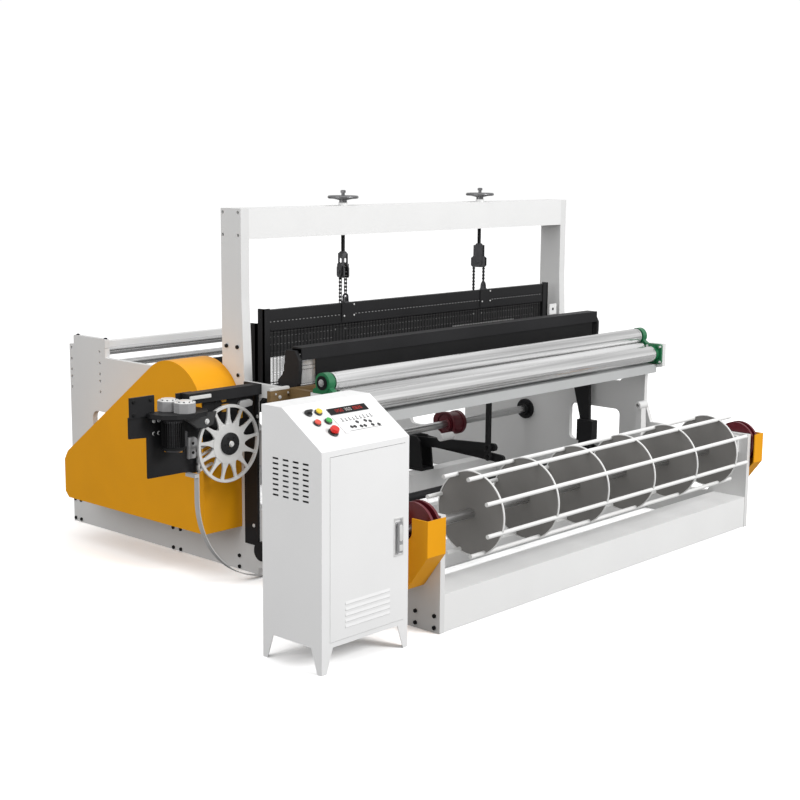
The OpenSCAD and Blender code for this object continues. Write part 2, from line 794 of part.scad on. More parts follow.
// two lobed cams with a drum between them, each with a groove in its outer face
module shedding_cams() {
    color([0.35, 0.06, 0.1]) difference() {
        union() {
            for (k = [0, 1]) along_x(cam_x[k], cam_t)
                polygon(wrap_points(crank, cam_r, crank + cam_lobes[k][0], cam_lobes[k][1]));
            bar_x(crank, cam_x[0], cam_x[1] + cam_t, cam_r - 4);
            bar_x(crank, cam_x[0] - 8, cam_x[1] + cam_t + 14, 40);
        }
        bar_x(crank, cam_x[0] - 20, cam_x[1] + cam_t + 20, shaft_r);
        for (x = [cam_x[0] - 1, cam_x[1] + cam_t - 7]) difference() {
            bar_x([crank[0] + 5, crank[1]], x, x + 8, cam_r - 8);
            bar_x([crank[0] + 5, crank[1]], x - 1, x + 9, cam_r - 18);
        }
    }
}

// ---------------------------------------------------------------- sley
sley_y = 1046;                  // middle of the reed
cap_z = [1076, 1136];
sword_t = 22;                   // the swords close both ends of the sley
sley_x = [sley_in_left + sword_t, frame_w - sley_in_right - sword_t];
race_z = [896, 952];
race_front = sley_y - 24;
panel_in = [100, 32];           // how far the front cover stops short of the cap's ends
reed_t = 6;
reed_x = [sley_x[0] + 4, sley_x[1] - 4];    // ends of the reed, inside the swords
hub_out = 34;
clamp_y = [-79, 32];            // the clamping block on each sword, from the rocker's axis
clamp_z = [352, 480];

module sword_outline() {
    difference() {
        union() {
            // the horn at the top, the blade, and the waist above the clamping block
            polygon([[sley_y - 8, cap_z[1] - 16], [sley_y + 54, cap_z[1] - 16],
                     [sley_y + 62, cap_z[1] - 50], [sley_y + 69, race_z[1] + 69],
                     [sley_y + 84, race_z[1] + 44], [sley_y + 112, race_z[1] + 18],
                     [sley_y + 105, race_z[1] - 22], [rocker[0] + 88, 680], [rocker[0] + 37, 490],
                     [rocker[0] + 44, rocker[1]], [rocker[0] - 44, rocker[1]], [rocker[0] - 32, 490],
                     [rocker[0] - 25, 690], [race_front + 3, race_z[1]], [sley_y - 28, race_z[1] + 13],
                     [sley_y - 34, race_z[1] + 70], [sley_y - 34, cap_z[0]]]);
            translate(rocker) circle(58);
        }
        translate(rocker) circle(shaft_r);
    }
}

module sley() {
    x1 = sley_x[0];
    x2 = sley_x[1];
    inner_hub = [x1 - sword_t, x2 - hub_out];
    color([0.17, 0.17, 0.18]) difference() {
        union() {
            // the cap: a folded rail over the top of the reed
            along_x(x1, x2 - x1) polygon([
                [sley_y - 34, cap_z[0]], [sley_y - 26, cap_z[0]], [sley_y - 26, cap_z[1] - 8],
                [sley_y + 30, cap_z[1] - 8], [sley_y + 30, cap_z[0] + 20], [sley_y + 38, cap_z[0] + 20],
                [sley_y + 38, cap_z[1]], [sley_y - 34, cap_z[1]]]);
            // the rail that clamps the reed's top
            box([x1, sley_y - 26, cap_z[0] + 6], [x2, sley_y + 30, cap_z[0] + 16]);
            // front cover below the cap
            box([x1 + panel_in[0], race_front, race_z[1] - 22],
                [x2 - panel_in[1], race_front + 6, cap_z[0] + 6]);
            // the race board
            box([x1, race_front, race_z[0]], [x2, sley_y + 70, race_z[1]]);
            for (s = [x1 - sword_t, x2]) along_x(s, sword_t) sword_outline();
            // the rocker shaft with the hubs of the swords
            bar_x(rocker, 4, frame_w - 4, shaft_r);
            for (s = inner_hub) {
                bar_x(rocker, s, s + hub_out + sword_t, 46);
                // the block that clamps the sword to its lower arm
                box([s, rocker[0] + clamp_y[0], clamp_z[0]],
                    [s + hub_out + sword_t, rocker[0] + clamp_y[1], clamp_z[1]]);
            }
        }
        box([reed_x[0] - seat, sley_y - reed_t / 2 - 2, race_z[1] - 20],
            [reed_x[1] + seat, sley_y + reed_t / 2 + 2, race_z[1] + 1]);
    }
}

module reed() {
    x1 = reed_x[0];
    l = reed_x[1] - x1;
    z0 = race_z[1] - 20 + seat;
    z1 = cap_z[0] + 6 - seat;
    baulk = 16;
    pitch = (l - 2 * baulk) / reed_gaps;
    wire = pitch * 0.3;
    color("silver") along_y(sley_y - reed_t / 2, reed_t) difference() {
        translate([x1, z0]) square([l, z1 - z0]);
        for (k = [0:reed_gaps - 1])
            translate([x1 + baulk + k * pitch + wire / 2, z1 - baulk - reed_h])
                square([pitch - wire, reed_h]);
    }
}

// ---------------------------------------------------------------- rapier head
wheel_x = -215;
wheel_y = 1188;                 // front face of the rapier wheel
wheel_z0 = 693;                 // height of the rapier wheel's axis
plate_y = 1254;                 // front face of the head's upright plate
arm_t = 12;
rail_z = [903, 952];
shelf_top = 884;                // top of the shelf under the gear housings
rail_x = -444;
hub_wheel_r = 52;
axle_r = 15;
foot_boss = [1195, 128];        // round foot of the upright bracket
foot_boss_r = 48;

module rapier_arm() {
    color([0.15, 0.15, 0.16]) difference() {
        union() {
            // the channel that carries the head out from the side frame
            along_y(plate_y - 54, 54) polygon([[rail_x, rail_z[0] + 20], [rail_x + 40, rail_z[0]],
                [-seat, rail_z[0]], [-seat, rail_z[1]], [rail_x, rail_z[1]]]);
            // the upright bracket on the side frame
            along_x(-arm_t - seat, arm_t) polygon([[1221, 150], [1316, 150], [1316, rail_z[1]],
                [1221, rail_z[1]]]);
            bar_x(foot_boss, -arm_t - 8, -seat, foot_boss_r);
            // the arm behind the wheel with its bearing boss
            along_y(plate_y - 14, arm_t) polygon([[wheel_x - 40, rail_z[0] + 4], [wheel_x - 44, wheel_z0],
                [wheel_x - 26, wheel_z0 - 44], [wheel_x + 26, wheel_z0 - 44], [wheel_x + 44, wheel_z0],
                [wheel_x + 40, rail_z[0] + 4]]);
            bar_y(wheel_x, wheel_z0, wheel_y + wheel_t + 8, plate_y, 34);
        }
        bar_y(wheel_x, wheel_z0, wheel_y, plate_y + 1, axle_r + fit);
        box([rail_x + 40, plate_y - 46, rail_z[0] + 10], [-20, plate_y + 1, rail_z[1] - 12]);
    }
}

head_x = [-740, -330];
head_z = [566, 872];
shelf_z = 864;
notch = [[-546, 690], [-434, 752]];

module rapier_plate() {
    color([0.13, 0.13, 0.14]) {
        difference() {
            union() {
                // the upright plate with its cut-out for the motor
                along_y(plate_y, arm_t) polygon([[head_x[0], 776], [-640, 770], [-640, head_z[0] + 14],
                    [-440, head_z[0] + 12], [-372, head_z[0]], [head_x[1], head_z[0] + 6], [head_x[1], 780],
                    [-380, 800], [-380, rail_z[1]], [-470, rail_z[1]], [-470, head_z[1]], [head_x[0],
                        head_z[1]]]);
                // the small upper plate, set forward
                along_y(plate_y - 10, arm_t) polygon([[head_x[0], 868], [-606, 872], [-606, 962],
                    [head_x[0], 962]]);
                // the shelf under the gear housings
                translate([-520, plate_y - 64, shelf_z]) linear_extrude(shelf_top - shelf_z)
                    polygon([[-126, 64], [-136, 20], [-118, -44], [-70, -86], [20, -104], [92, -96],
                        [134, -52],
                             [144, 10], [140, 64]]);
            }
            along_y(plate_y - 1, arm_t + 2) polygon([notch[0], [notch[1][0], notch[0][1] - 18],
                [notch[1][0], notch[1][1] - 8], [notch[0][0], notch[1][1]]]);
            for (x = [-722, -628]) for (z = [884, 944]) bar_y(x, z, plate_y - 12, plate_y + 4, 5);
        }
        // bolts on the upright plate
        for (x = [-604, -576]) for (z = [784, 855]) bar_y(x, z, plate_y - 6, plate_y, 8);
    }
}

cap_pos = [[-528, 1244], [-508, 1150]];
cap_r = 47;

// the motor hangs under the shelf; its two gear housings stand on top
module rapier_motor() {
    color([0.2, 0.2, 0.22]) translate([-540, 1196, 0]) {
        bar_z(0, 0, 704, shelf_z, 40);
        bar_z(0, 0, shelf_z - 26, shelf_z, 50);
        for (k = [0:4]) bar_z(0, 0, 716 + k * 20, 722 + k * 20, 44);
        box([26, -26, 720], [60, 26, 790]);
    }
    color("gray") for (p = cap_pos) translate([p[0], p[1], shelf_top]) {
        cylinder(h = 44, r = cap_r, $fn = 8);
        translate([0, 0, 44]) cylinder(h = 8, r = cap_r - 12, $fn = 8);
    }
}

module rapier_wheel() {
    rim_in = wheel_r - 18;
    color("silver") translate([wheel_x, wheel_y, wheel_z0]) rotate([-90, 0, 0]) difference() {
        union() {
            difference() {
                cylinder(h = wheel_t, r = wheel_r, $fn = 128);
                translate([0, 0, -1]) cylinder(h = wheel_t + 2, r = rim_in, $fn = 128);
            }
            translate([0, 0, 5]) cylinder(h = wheel_t - 10, r = 84, $fn = 96);
            for (k = [0:spoke_count - 1]) rotate([0, 0, k * 360 / spoke_count]) translate([0, 0, 6])
                linear_extrude(wheel_t - 12)
                    polygon([[76, -17], [rim_in - 14, -8], [rim_in + 3, -13], [rim_in + 3, 13],
                        [rim_in - 14, 8],
                             [76, 17]]);
            translate([0, 0, -10]) cylinder(h = 20, r = hub_wheel_r);
            cylinder(h = wheel_t + 8 - run, r = 30);
            translate([0, 0, -16]) cylinder(h = 8, r = 11, $fn = 6);
            cylinder(h = plate_y - wheel_y + 6, r = axle_r);
        }
        // the tape groove round the rim
        translate([0, 0, wheel_t / 2]) rotate_extrude($fn = 128)
            translate([wheel_r - 4, -8]) square([6, 16]);
    }
}

guide_r = 450;                  // bend of the tape guide
guide_w = 32;
guide_t = 4;
guide_y = wheel_y + (wheel_t - guide_w) / 2;
guide_x = wheel_x - wheel_r - 1;
guide_drop = 455;

module tape_guide() {
    color("silver") along_y(guide_y, guide_w) {
        translate([guide_x - guide_t, guide_drop]) square([guide_t, 120]);
        intersection() {
            translate([guide_x + guide_r - guide_t, guide_drop]) difference() {
                circle(guide_r, $fn = 192);
                circle(guide_r - guide_t, $fn = 192);
            }
            translate([guide_x - guide_t - 1, 0]) square([-guide_x + guide_t + 1 - seat, guide_drop]);
        }
    }
    color("silver") {
        // the clips that hold the guide to the head's plate and to the side frame
        box([guide_x - guide_t - 22, guide_y, 560], [guide_x - guide_t, plate_y - seat, 575]);
        box([-14, guide_y, 6], [-seat, guide_y + guide_w, 40]);
    }
}

board_x = [-126, 330];
board_y = [race_front - seat - 23, race_front - seat];
board_bolts = [-12, 70];
board_bolt_r = 7;

// the strip in front of the sley that leads the rapier's tape out over the left side frame
module shuttle_race() {
    color("peru") difference() {
        box([board_x[0], board_y[0], race_z[0]], [board_x[1], board_y[1], race_z[1]]);
        for (x = board_bolts) bar_y(x, (race_z[0] + race_z[1])
            / 2, board_y[0] - 1, board_y[0] + 8, board_bolt_r);
    }
}

// ---------------------------------------------------------------- take-up stand
stand_t = 30;
stand_back = 640;
reel_bore_r = reel_shaft_d / 2 + 8;

module stand_outline() {
    difference() {
        polygon([[0, 0], [stand_back, 0], [stand_back, rail_h - 10], [column_d + 40, rail_h],
            [column_d, rail_h + 60],
                 [column_d, column_h], [0, column_h]]);
        translate([reel_y, reel_z]) circle(reel_bore_r);
    }
}

module stand_plates() {
    color("whitesmoke") {
        along_x(stand_l, stand_t) stand_outline();
        along_x(stand_r - stand_t, stand_t) stand_outline();
        // the pads that tie the rails to the machine's feet
        box([stand_l + stand_t, foot_front + 10, 30], [0, stand_back - 10, 130]);
        box([stand_r, foot_front + 10, 30], [inner_r, stand_back - 10, 130]);
    }
}

module stand_front_beam() {
    x1 = stand_l + stand_t;
    x2 = stand_r - stand_t;
    color("white") difference() {
        box([x1, 4, 2], [x2, column_d - 3, rail_h]);
        box([x1 + 5, 9, -1], [x2 - 5, column_d - 8, rail_h - 5]);
    }
}

module reel_bearing(x, dir) {
    translate([x, reel_y, reel_z]) rotate([0, dir * 90, 0]) difference() {
        union() {
            linear_extrude(20) cut_rect([-50, -50], [50, 50], 8);
            cylinder(h = 34, r = 36);
        }
        translate([0, 0, -1]) cylinder(h = 60, r = reel_shaft_d / 2 + fit);
    }
}

module reel_bearings() {
    color("gainsboro") {
        reel_bearing(stand_l + stand_t, 1);
        reel_bearing(stand_r - stand_t, -1);
    }
}

drum_w = 56;
drum_r = 116;
drum_gap = 8;

module drum(x) {
    difference() {
        union() {
            bar_x([reel_y, reel_z], x, x + 14, drum_r);
            bar_x([reel_y, reel_z], x + drum_w - 14, x + drum_w, drum_r);
            bar_x([reel_y, reel_z], x, x + drum_w, drum_r - 28);
        }
        bar_x([reel_y, reel_z], x - 1, x + drum_w + 1, reel_shaft_d / 2);
    }
}

guard_in = 6;
guard_y = [-28, 2 * reel_y + 28];
end_l = [-175, stand_l];
end_r = [stand_r, guard_r_x];

// a folded guard round the drum, open at the top; the left one has a slot for the shaft's end
module end_guard(x1, x2, open_left) {
    y0 = guard_y[0];
    y1 = guard_y[1];
    t = guard_in;
    difference() {
        along_x(x1, x2 - x1) polygon([[y0, 367], [y0, 525], [y1, 525], [y1, 205], [163, 183], [92, 205]]);
        along_x(open_left ? x1 - 1 : x1 + t, x2 - x1 - t + 1) polygon([[y0 + t, 369], [y0 + t, 600],
            [y1 - t, 600], [y1 - t, 211], [163, 190], [94, 211]]);
        if (!open_left) along_x(x1 - 1, t + 2) {
            translate([reel_y - 40, reel_z]) square([80, 100]);
            translate([reel_y, reel_z]) circle(40);
        }
    }
}

module end_guards() {
    color("orange") {
        end_guard(end_l[0], end_l[1], false);
        end_guard(end_r[0], end_r[1], true);
    }
}

disc_x1 = 260;
disc_x2 = stand_r - 300;
disc_t = 6;
rod_circle = disc_r - 7;
rod_start = 64;
rod_ends = [165, stand_r - 168];

module reel_shaft() {
    color("silver") bar_x([reel_y, reel_z], end_l[0] - 14, end_r[1] - 14, reel_shaft_d / 2);
}

module brake_drums() {
    color([0.35, 0.06, 0.1]) {
        drum(stand_l - drum_gap - drum_w);
        drum(stand_r + drum_gap);
    }
}

module rod_places(r) {
    for (k = [0:rod_count - 1]) {
        a = rod_start + k * 360 / rod_count;
        translate([reel_y + rod_circle * cos(a), reel_z + rod_circle * sin(a)]) circle(r, $fn = 24);
    }
}

module reel_discs() {
    color("gray") for (k = [0:disc_count - 1])
        along_x(disc_x1 + k * (disc_x2 - disc_x1) / (disc_count - 1), disc_t) difference() {
            translate([reel_y, reel_z]) circle(disc_r, $fn = 128);
            translate([reel_y, reel_z]) circle(reel_shaft_d / 2);
            rod_places(rod_d / 2);
        }
}

module reel_rods() { color("white") along_x(rod_ends[0], rod_ends[1] - rod_ends[0]) rod_places(rod_d / 2); }

tube_x = [60, frame_w - 152];   // left edge of each tube
tube_y = 682;
tube_z = 614;
tube_l = 84;

// tapered posts with a short tube across their tops, standing on the cross member at the feet
module tube_brackets() {
    color("lightgray") for (x = tube_x) difference() {
        union() {
            hull() {
                box([x + 8, tube_y - 30, members[0][1][1]], [x + 76, tube_y + 30, members[0][1][1] + 2]);
                box([x + 20, tube_y - 16, tube_z - 4], [x + 64, tube_y + 16, tube_z]);
            }
            bar_x([tube_y, tube_z], x, x + tube_l, 23);
        }
        bar_x([tube_y, tube_z], x - 1, x + tube_l + 1, 12);
    }
}

// ---------------------------------------------------------------- bolts
bolt_r = 10;
bolt_h = 7;

module bolt_row(x, out, places) {
    for (p = places) translate([x, p[0], p[1]]) rotate([0, out * 90, 0])
        cylinder(h = bolt_h, r = bolt_r, $fn = 6);
}

module frame_bolts() {
    base = [for (y = [1833, 1893]) for (z = [14, 120]) [y, z],
        for (y = [frame_back - 71, frame_back - 18]) for (z = [18, 127]) [y, z],
            for (z = [16, 72]) [1371, z], for (z = [24, 104]) [682, z]];
    post = [[1453, 1113], [1373, 1113], [1374, 975]];
    color("dimgray") {
        bolt_row(frame_w, 1, concat(base, post));
        bolt_row(0, -1, concat([for (p = base) if (p[0] > 1000) p], [for (p = post) if (p[1] > 1060) p]));
        bolt_row(stand_l, -1, [for (y = [30, 140]) for (z = [24, 77]) [y, z]]);
        bolt_row(stand_r, 1, [for (y = [30, 140]) for (z = [24, 77]) [y, z]]);
    }
}

// ---------------------------------------------------------------- control cabinet
slope_run = 226;                // depth of the sloping panel
slope_a = atan2(cab_h - cab_front_h, slope_run);
cab_x2 = cab_x + cab_w;
cab_y2 = cab_y + cab_d;
door_x = [cab_x + 45, cab_x2 - 26];
door_z = [128, 876];
door_gap = 2;
hinge_gap = 0.4;                // gap at the door's hinge side
pocket_x = [16, 56];            // handle pocket, from the door's free edge
pocket_z = [414, 562];
door_t = 20;
louvre_cols = [86, 143, 201, 260];
louvre_w = 34;
louvre_h = 8;
louvre_pitch = 21.3;
louvre_low = 690;
louvre_rows = 8;

module cab_outline(d) {
    polygon([[cab_y + d, foot_h + d], [cab_y2 - d, foot_h + d], [cab_y2 - d, cab_h - d],
             [cab_y + slope_run + d * 0.3, cab_h - d], [cab_y + d, cab_front_h - d * 0.6]]);
}

// puts children on the sloping panel: u from its left edge, v up the slope, w out of it
module on_panel(u, v) {
    translate([cab_x, cab_y, cab_front_h]) rotate([slope_a, 0, 0]) translate([u, v, 0]) children();
}

knobs = [[98, 214], [150, 210], [159, 153], [98, 153], [136, 91]];  // selector, yellow, green, red, stop
knob_hole_r = 8;

module cabinet_body() {
    color("white") {
        difference() {
            along_x(cab_x, cab_w) cab_outline(0);
            along_x(cab_x + sheet, cab_w - 2 * sheet) cab_outline(sheet);
            // door opening
            box([door_x[0] - hinge_gap, cab_y - 1, door_z[0] - door_gap],
                [door_x[1] + door_gap, cab_y + sheet + 1, door_z[1] + door_gap]);
            // louvres
            for (y = louvre_cols) for (k = [0:louvre_rows - 1])
                translate([cab_x - 1, y - louvre_w / 2, louvre_low + k * louvre_pitch])
                    cube([sheet + 2, louvre_w, louvre_h]);
            for (p = knobs) on_panel(p[0], p[1]) translate([0, 0, -10])
                cylinder(h = 20, r = knob_hole_r + run);
        }
        // tapered feet
        for (x = [cab_x, cab_x2]) for (y = [cab_y, cab_y2]) {
            sx = x == cab_x ? 1 : -1;
            sy = y == cab_y ? 1 : -1;
            translate([x, y, 0]) foot(sx, sy);
        }
    }
}

// a foot of folded angle, wide at the top and narrow on the floor
module foot(sx, sy) {
    t = 3;
    along_x(sx > 0 ? 0 : -t, t) polygon([[0, 0], [sy * 26, 0], [sy * 62, foot_h], [0, foot_h]]);
    along_y(sy > 0 ? 0 : -t, t) polygon([[0, 0], [sx * 26, 0], [sx * 62, foot_h], [0, foot_h]]);
}

pocket_d = 6;
grip_r = 6;                     // the handle's round pivot
grip_y = cab_y + pocket_d - grip_r - 0.5;
grip_z = pocket_z[1] - 18;

module cabinet_door() {
    x1 = door_x[0];
    x2 = door_x[1];
    color("white") difference() {
        union() {
            difference() {
                box([x1, cab_y - 2, door_z[0]], [x2, cab_y + door_t, door_z[1]]);
                // the folded door is hollow behind
                box([x1 + sheet, cab_y, door_z[0] + sheet],
                    [x2 - sheet, cab_y + door_t + 1, door_z[1] - sheet]);
            }
            // the dish of the handle's pocket
            box([x2 - pocket_x[1] - sheet, cab_y - 1, pocket_z[0] - sheet],
                [x2 - pocket_x[0] + sheet, cab_y + pocket_d + sheet, pocket_z[1] + sheet]);
        }
        box([x2 - pocket_x[1], cab_y - 3, pocket_z[0]], [x2 - pocket_x[0], cab_y + pocket_d, pocket_z[1]]);
    }
}

module door_handle() {
    x = door_x[1] - (pocket_x[0] + pocket_x[1]) / 2;
    w = (pocket_x[1] - pocket_x[0]) / 2 - 1;
    color("dimgray") {
        bar_x([grip_y, grip_z], x - w, x + w, grip_r);
        box([x - w + 6, grip_y - 14, pocket_z[0] + 8], [x + w - 6, grip_y - 4, grip_z + 5]);
    }
}

module control_gear() {
    y = cab_y2 - 40;
    color("lightslategray") {
        box([cab_x + 40, y, 180], [cab_x2 - 40, y + 3, 820]);
        for (k = [0, 1]) box([cab_x + 60, y + 3, 250 + k * 420],
            [cab_x2 - 60, cab_y2 - sheet, 280 + k * 420]);
        box([cab_x + 70, y - 120, 520], [cab_x + 210, y, 760]);
        for (k = [0:3]) box([cab_x + 240 + k * 52, y - 80, 600], [cab_x + 284 + k * 52, y, 700]);
        box([cab_x + 70, y - 50, 330], [cab_x2 - 70, y, 390]);
    }
}

module display() {
    color([0.08, 0.08, 0.1]) on_panel(202, 184) box([0, 0, 0], [216, 36, 3]);
    color("lightgray") on_panel(196, 76) box([0, 0, 0], [228, 96, 2]);
}

module knob_stem() { translate([0, 0, -14]) cylinder(h = 18, r = knob_hole_r); }

module push_button() {
    knob_stem();
    translate([0, 0, 4]) cylinder(h = 10, r = 13);
}

module selector_switch() {
    color([0.1, 0.1, 0.1]) on_panel(knobs[0][0], knobs[0][1]) {
        knob_stem();
        translate([0, 0, run]) cylinder(h = 8, r = 15);
        translate([0, 0, 8]) linear_extrude(12) polygon([[-15, -5], [12, -5], [16, 0], [12, 5], [-15, 5]]);
    }
}

module button_yellow() { color("gold") on_panel(knobs[1][0], knobs[1][1]) push_button(); }
module button_green() { color("limegreen") on_panel(knobs[2][0], knobs[2][1]) push_button(); }
module button_red() { color("salmon") on_panel(knobs[3][0], knobs[3][1]) push_button(); }

module emergency_stop() {
    color("red") on_panel(knobs[4][0], knobs[4][1]) {
        knob_stem();
        translate([0, 0, 3]) cylinder(h = 6, r = knob_hole_r);
        translate([0, 0, 8]) cylinder(h = 8, r = 12);
        translate([0, 0, 16]) cylinder(h = 11, r1 = 20, r2 = 17);
    }
}

place() side_frame_left();
place() side_frame_right();
place() gantry_beam();
place() cross_members();
place() breast_beam();
place() drive_guard();
place() drive_motor();
place() drive_belt();
place() breast_roller_bearings();
place() take_up_bearings();
place() shaft_bearings();
place() warp_roller_brackets();
place() warp_bar();
place() rapier_arm();
place() rapier_plate();
place() rapier_motor();
place() brake_drums();
place() tape_guide();
place() shuttle_race();
place() stand_plates();
place() stand_front_beam();
place() end_guards();
place() reel_bearings();
place() tube_brackets();
place() cabinet_body();
place() control_gear();
place() display();
place() treadle_box();
place() frame_bolts();
place() chain_hangers();
place() cabinet_door();
place() door_handle();
place() selector_switch();
place() button_yellow();
place() button_green();
place() button_red();
place() emergency_stop();
place() breast_roller();
place() middle_roller();
place() take_up_roller();
place() warp_roller_upper();
place() warp_roller_lower();
place() crank_shaft();
place() main_pulley();
place() shedding_cams();
place() motor_pulley();
place() sley();
place() reed();
place() heald_frame_front();
place() heald_frame_rear();
place() sprocket_left();
place() sprocket_right();
place() handwheel_left();
place() handwheel_right();
place() treadle_front();
place() treadle_rear();
place() rapier_wheel();
place() reel_shaft();
place() reel_discs();
place() reel_rods();
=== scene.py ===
"""The looks of a wire mesh weaving machine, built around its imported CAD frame."""

import math
import random

import bmesh
import bpy
from mathutils import Matrix, Vector
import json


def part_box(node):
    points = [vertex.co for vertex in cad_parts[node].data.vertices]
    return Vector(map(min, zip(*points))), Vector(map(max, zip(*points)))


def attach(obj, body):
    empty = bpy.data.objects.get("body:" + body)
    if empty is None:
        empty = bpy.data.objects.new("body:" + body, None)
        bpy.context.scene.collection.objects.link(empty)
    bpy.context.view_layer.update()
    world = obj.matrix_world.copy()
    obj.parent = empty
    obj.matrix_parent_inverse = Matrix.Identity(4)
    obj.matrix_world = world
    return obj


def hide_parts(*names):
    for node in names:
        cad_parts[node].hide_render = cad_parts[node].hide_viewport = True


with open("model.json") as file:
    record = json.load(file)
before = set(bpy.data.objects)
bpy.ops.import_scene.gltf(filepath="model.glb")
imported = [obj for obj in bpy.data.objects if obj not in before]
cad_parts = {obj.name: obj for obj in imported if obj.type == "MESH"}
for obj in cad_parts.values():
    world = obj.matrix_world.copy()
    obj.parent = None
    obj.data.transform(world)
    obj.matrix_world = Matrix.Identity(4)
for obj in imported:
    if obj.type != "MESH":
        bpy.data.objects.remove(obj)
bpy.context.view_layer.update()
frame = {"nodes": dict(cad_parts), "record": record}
rng = random.Random(7)


# ---------------------------------------------------------------- camera
CAMERA_PLACE = Vector((-5.5178, -5.2775, 2.0319))
AZIMUTH = math.radians(-47.28)      # of the direction from the object back to the camera
PITCH = math.radians(9.55)          # downwards
ROLL = math.radians(0.49)
LENS = 65.21


def make_camera():
    back = Vector((math.sin(AZIMUTH) * math.cos(PITCH), -math.cos(AZIMUTH) * math.cos(PITCH), math.sin(PITCH)))
    right = (-back).cross(Vector((0, 0, 1))).normalized()
    up = right.cross(-back)
    x_axis = right * math.cos(ROLL) + up * math.sin(ROLL)
    y_axis = up * math.cos(ROLL) - right * math.sin(ROLL)
    data = bpy.data.cameras.new("camera")
    data.lens = LENS
    data.sensor_width = 36
    data.clip_end = 100
    cam = bpy.data.objects.new("camera", data)
    bpy.context.scene.collection.objects.link(cam)
    turn = Matrix((x_axis, y_axis, back)).transposed().to_4x4()
    cam.matrix_world = Matrix.Translation(CAMERA_PLACE) @ turn
    bpy.context.scene.camera = cam


make_camera()


# ---------------------------------------------------------------- materials
def mixed(nodes, links, vector, low, high, scale, detail=4.0, spread=(0.35, 0.65)):
    """Returns the colour socket of a soft noise between two colours."""
    noise = nodes.new("ShaderNodeTexNoise")
    noise.inputs["Scale"].default_value = scale
    noise.inputs["Detail"].default_value = detail
    links.new(vector, noise.inputs["Vector"])
    ramp = nodes.new("ShaderNodeValToRGB")
    ramp.color_ramp.elements[0].position = spread[0]
    ramp.color_ramp.elements[1].position = spread[1]
    ramp.color_ramp.elements[0].color = (*low, 1)
    ramp.color_ramp.elements[1].color = (*high, 1)
    links.new(noise.outputs["Fac"], ramp.inputs["Fac"])
    return ramp.outputs["Color"], noise.outputs["Fac"]


def surface(name, color, rough, metallic=0.0, coat=0.0, vary=0.04, grain=0.0, stretch=(1, 1, 1), scale=3.0,
            rough_vary=0.05, specular=0.5):
    """A procedural finish: a colour that drifts a little, uneven gloss, and a fine grain as bump."""
    mat = bpy.data.materials.new(name)
    mat.use_nodes = True
    nodes, links = mat.node_tree.nodes, mat.node_tree.links
    shader = nodes["Principled BSDF"]
    shader.inputs["Metallic"].default_value = metallic
    shader.inputs["Coat Weight"].default_value = coat
    shader.inputs["Coat Roughness"].default_value = 0.15
    shader.inputs["Specular IOR Level"].default_value = specular
    place = nodes.new("ShaderNodeTexCoord")
    mapping = nodes.new("ShaderNodeMapping")
    mapping.inputs["Scale"].default_value = stretch
    links.new(place.outputs["Object"], mapping.inputs["Vector"])
    vector = mapping.outputs["Vector"]
    low = [c * (1 - vary) for c in color]
    high = [min(1.0, c * (1 + vary)) for c in color]
    tone, fac = mixed(nodes, links, vector, low, high, scale)
    links.new(tone, shader.inputs["Base Color"])
    gloss = nodes.new("ShaderNodeMapRange")
    gloss.inputs["To Min"].default_value = max(0.02, rough - rough_vary)
    gloss.inputs["To Max"].default_value = rough + rough_vary
    links.new(fac, gloss.inputs["Value"])
    links.new(gloss.outputs["Result"], shader.inputs["Roughness"])
    if grain:
        fine = nodes.new("ShaderNodeTexNoise")
        fine.inputs["Scale"].default_value = 350.0
        fine.inputs["Detail"].default_value = 2.0
        links.new(vector, fine.inputs["Vector"])
        bump = nodes.new("ShaderNodeBump")
        bump.inputs["Strength"].default_value = grain
        bump.inputs["Distance"].default_value = 0.0005
        links.new(fine.outputs["Fac"], bump.inputs["Height"])
        links.new(bump.outputs["Normal"], shader.inputs["Normal"])
    return mat


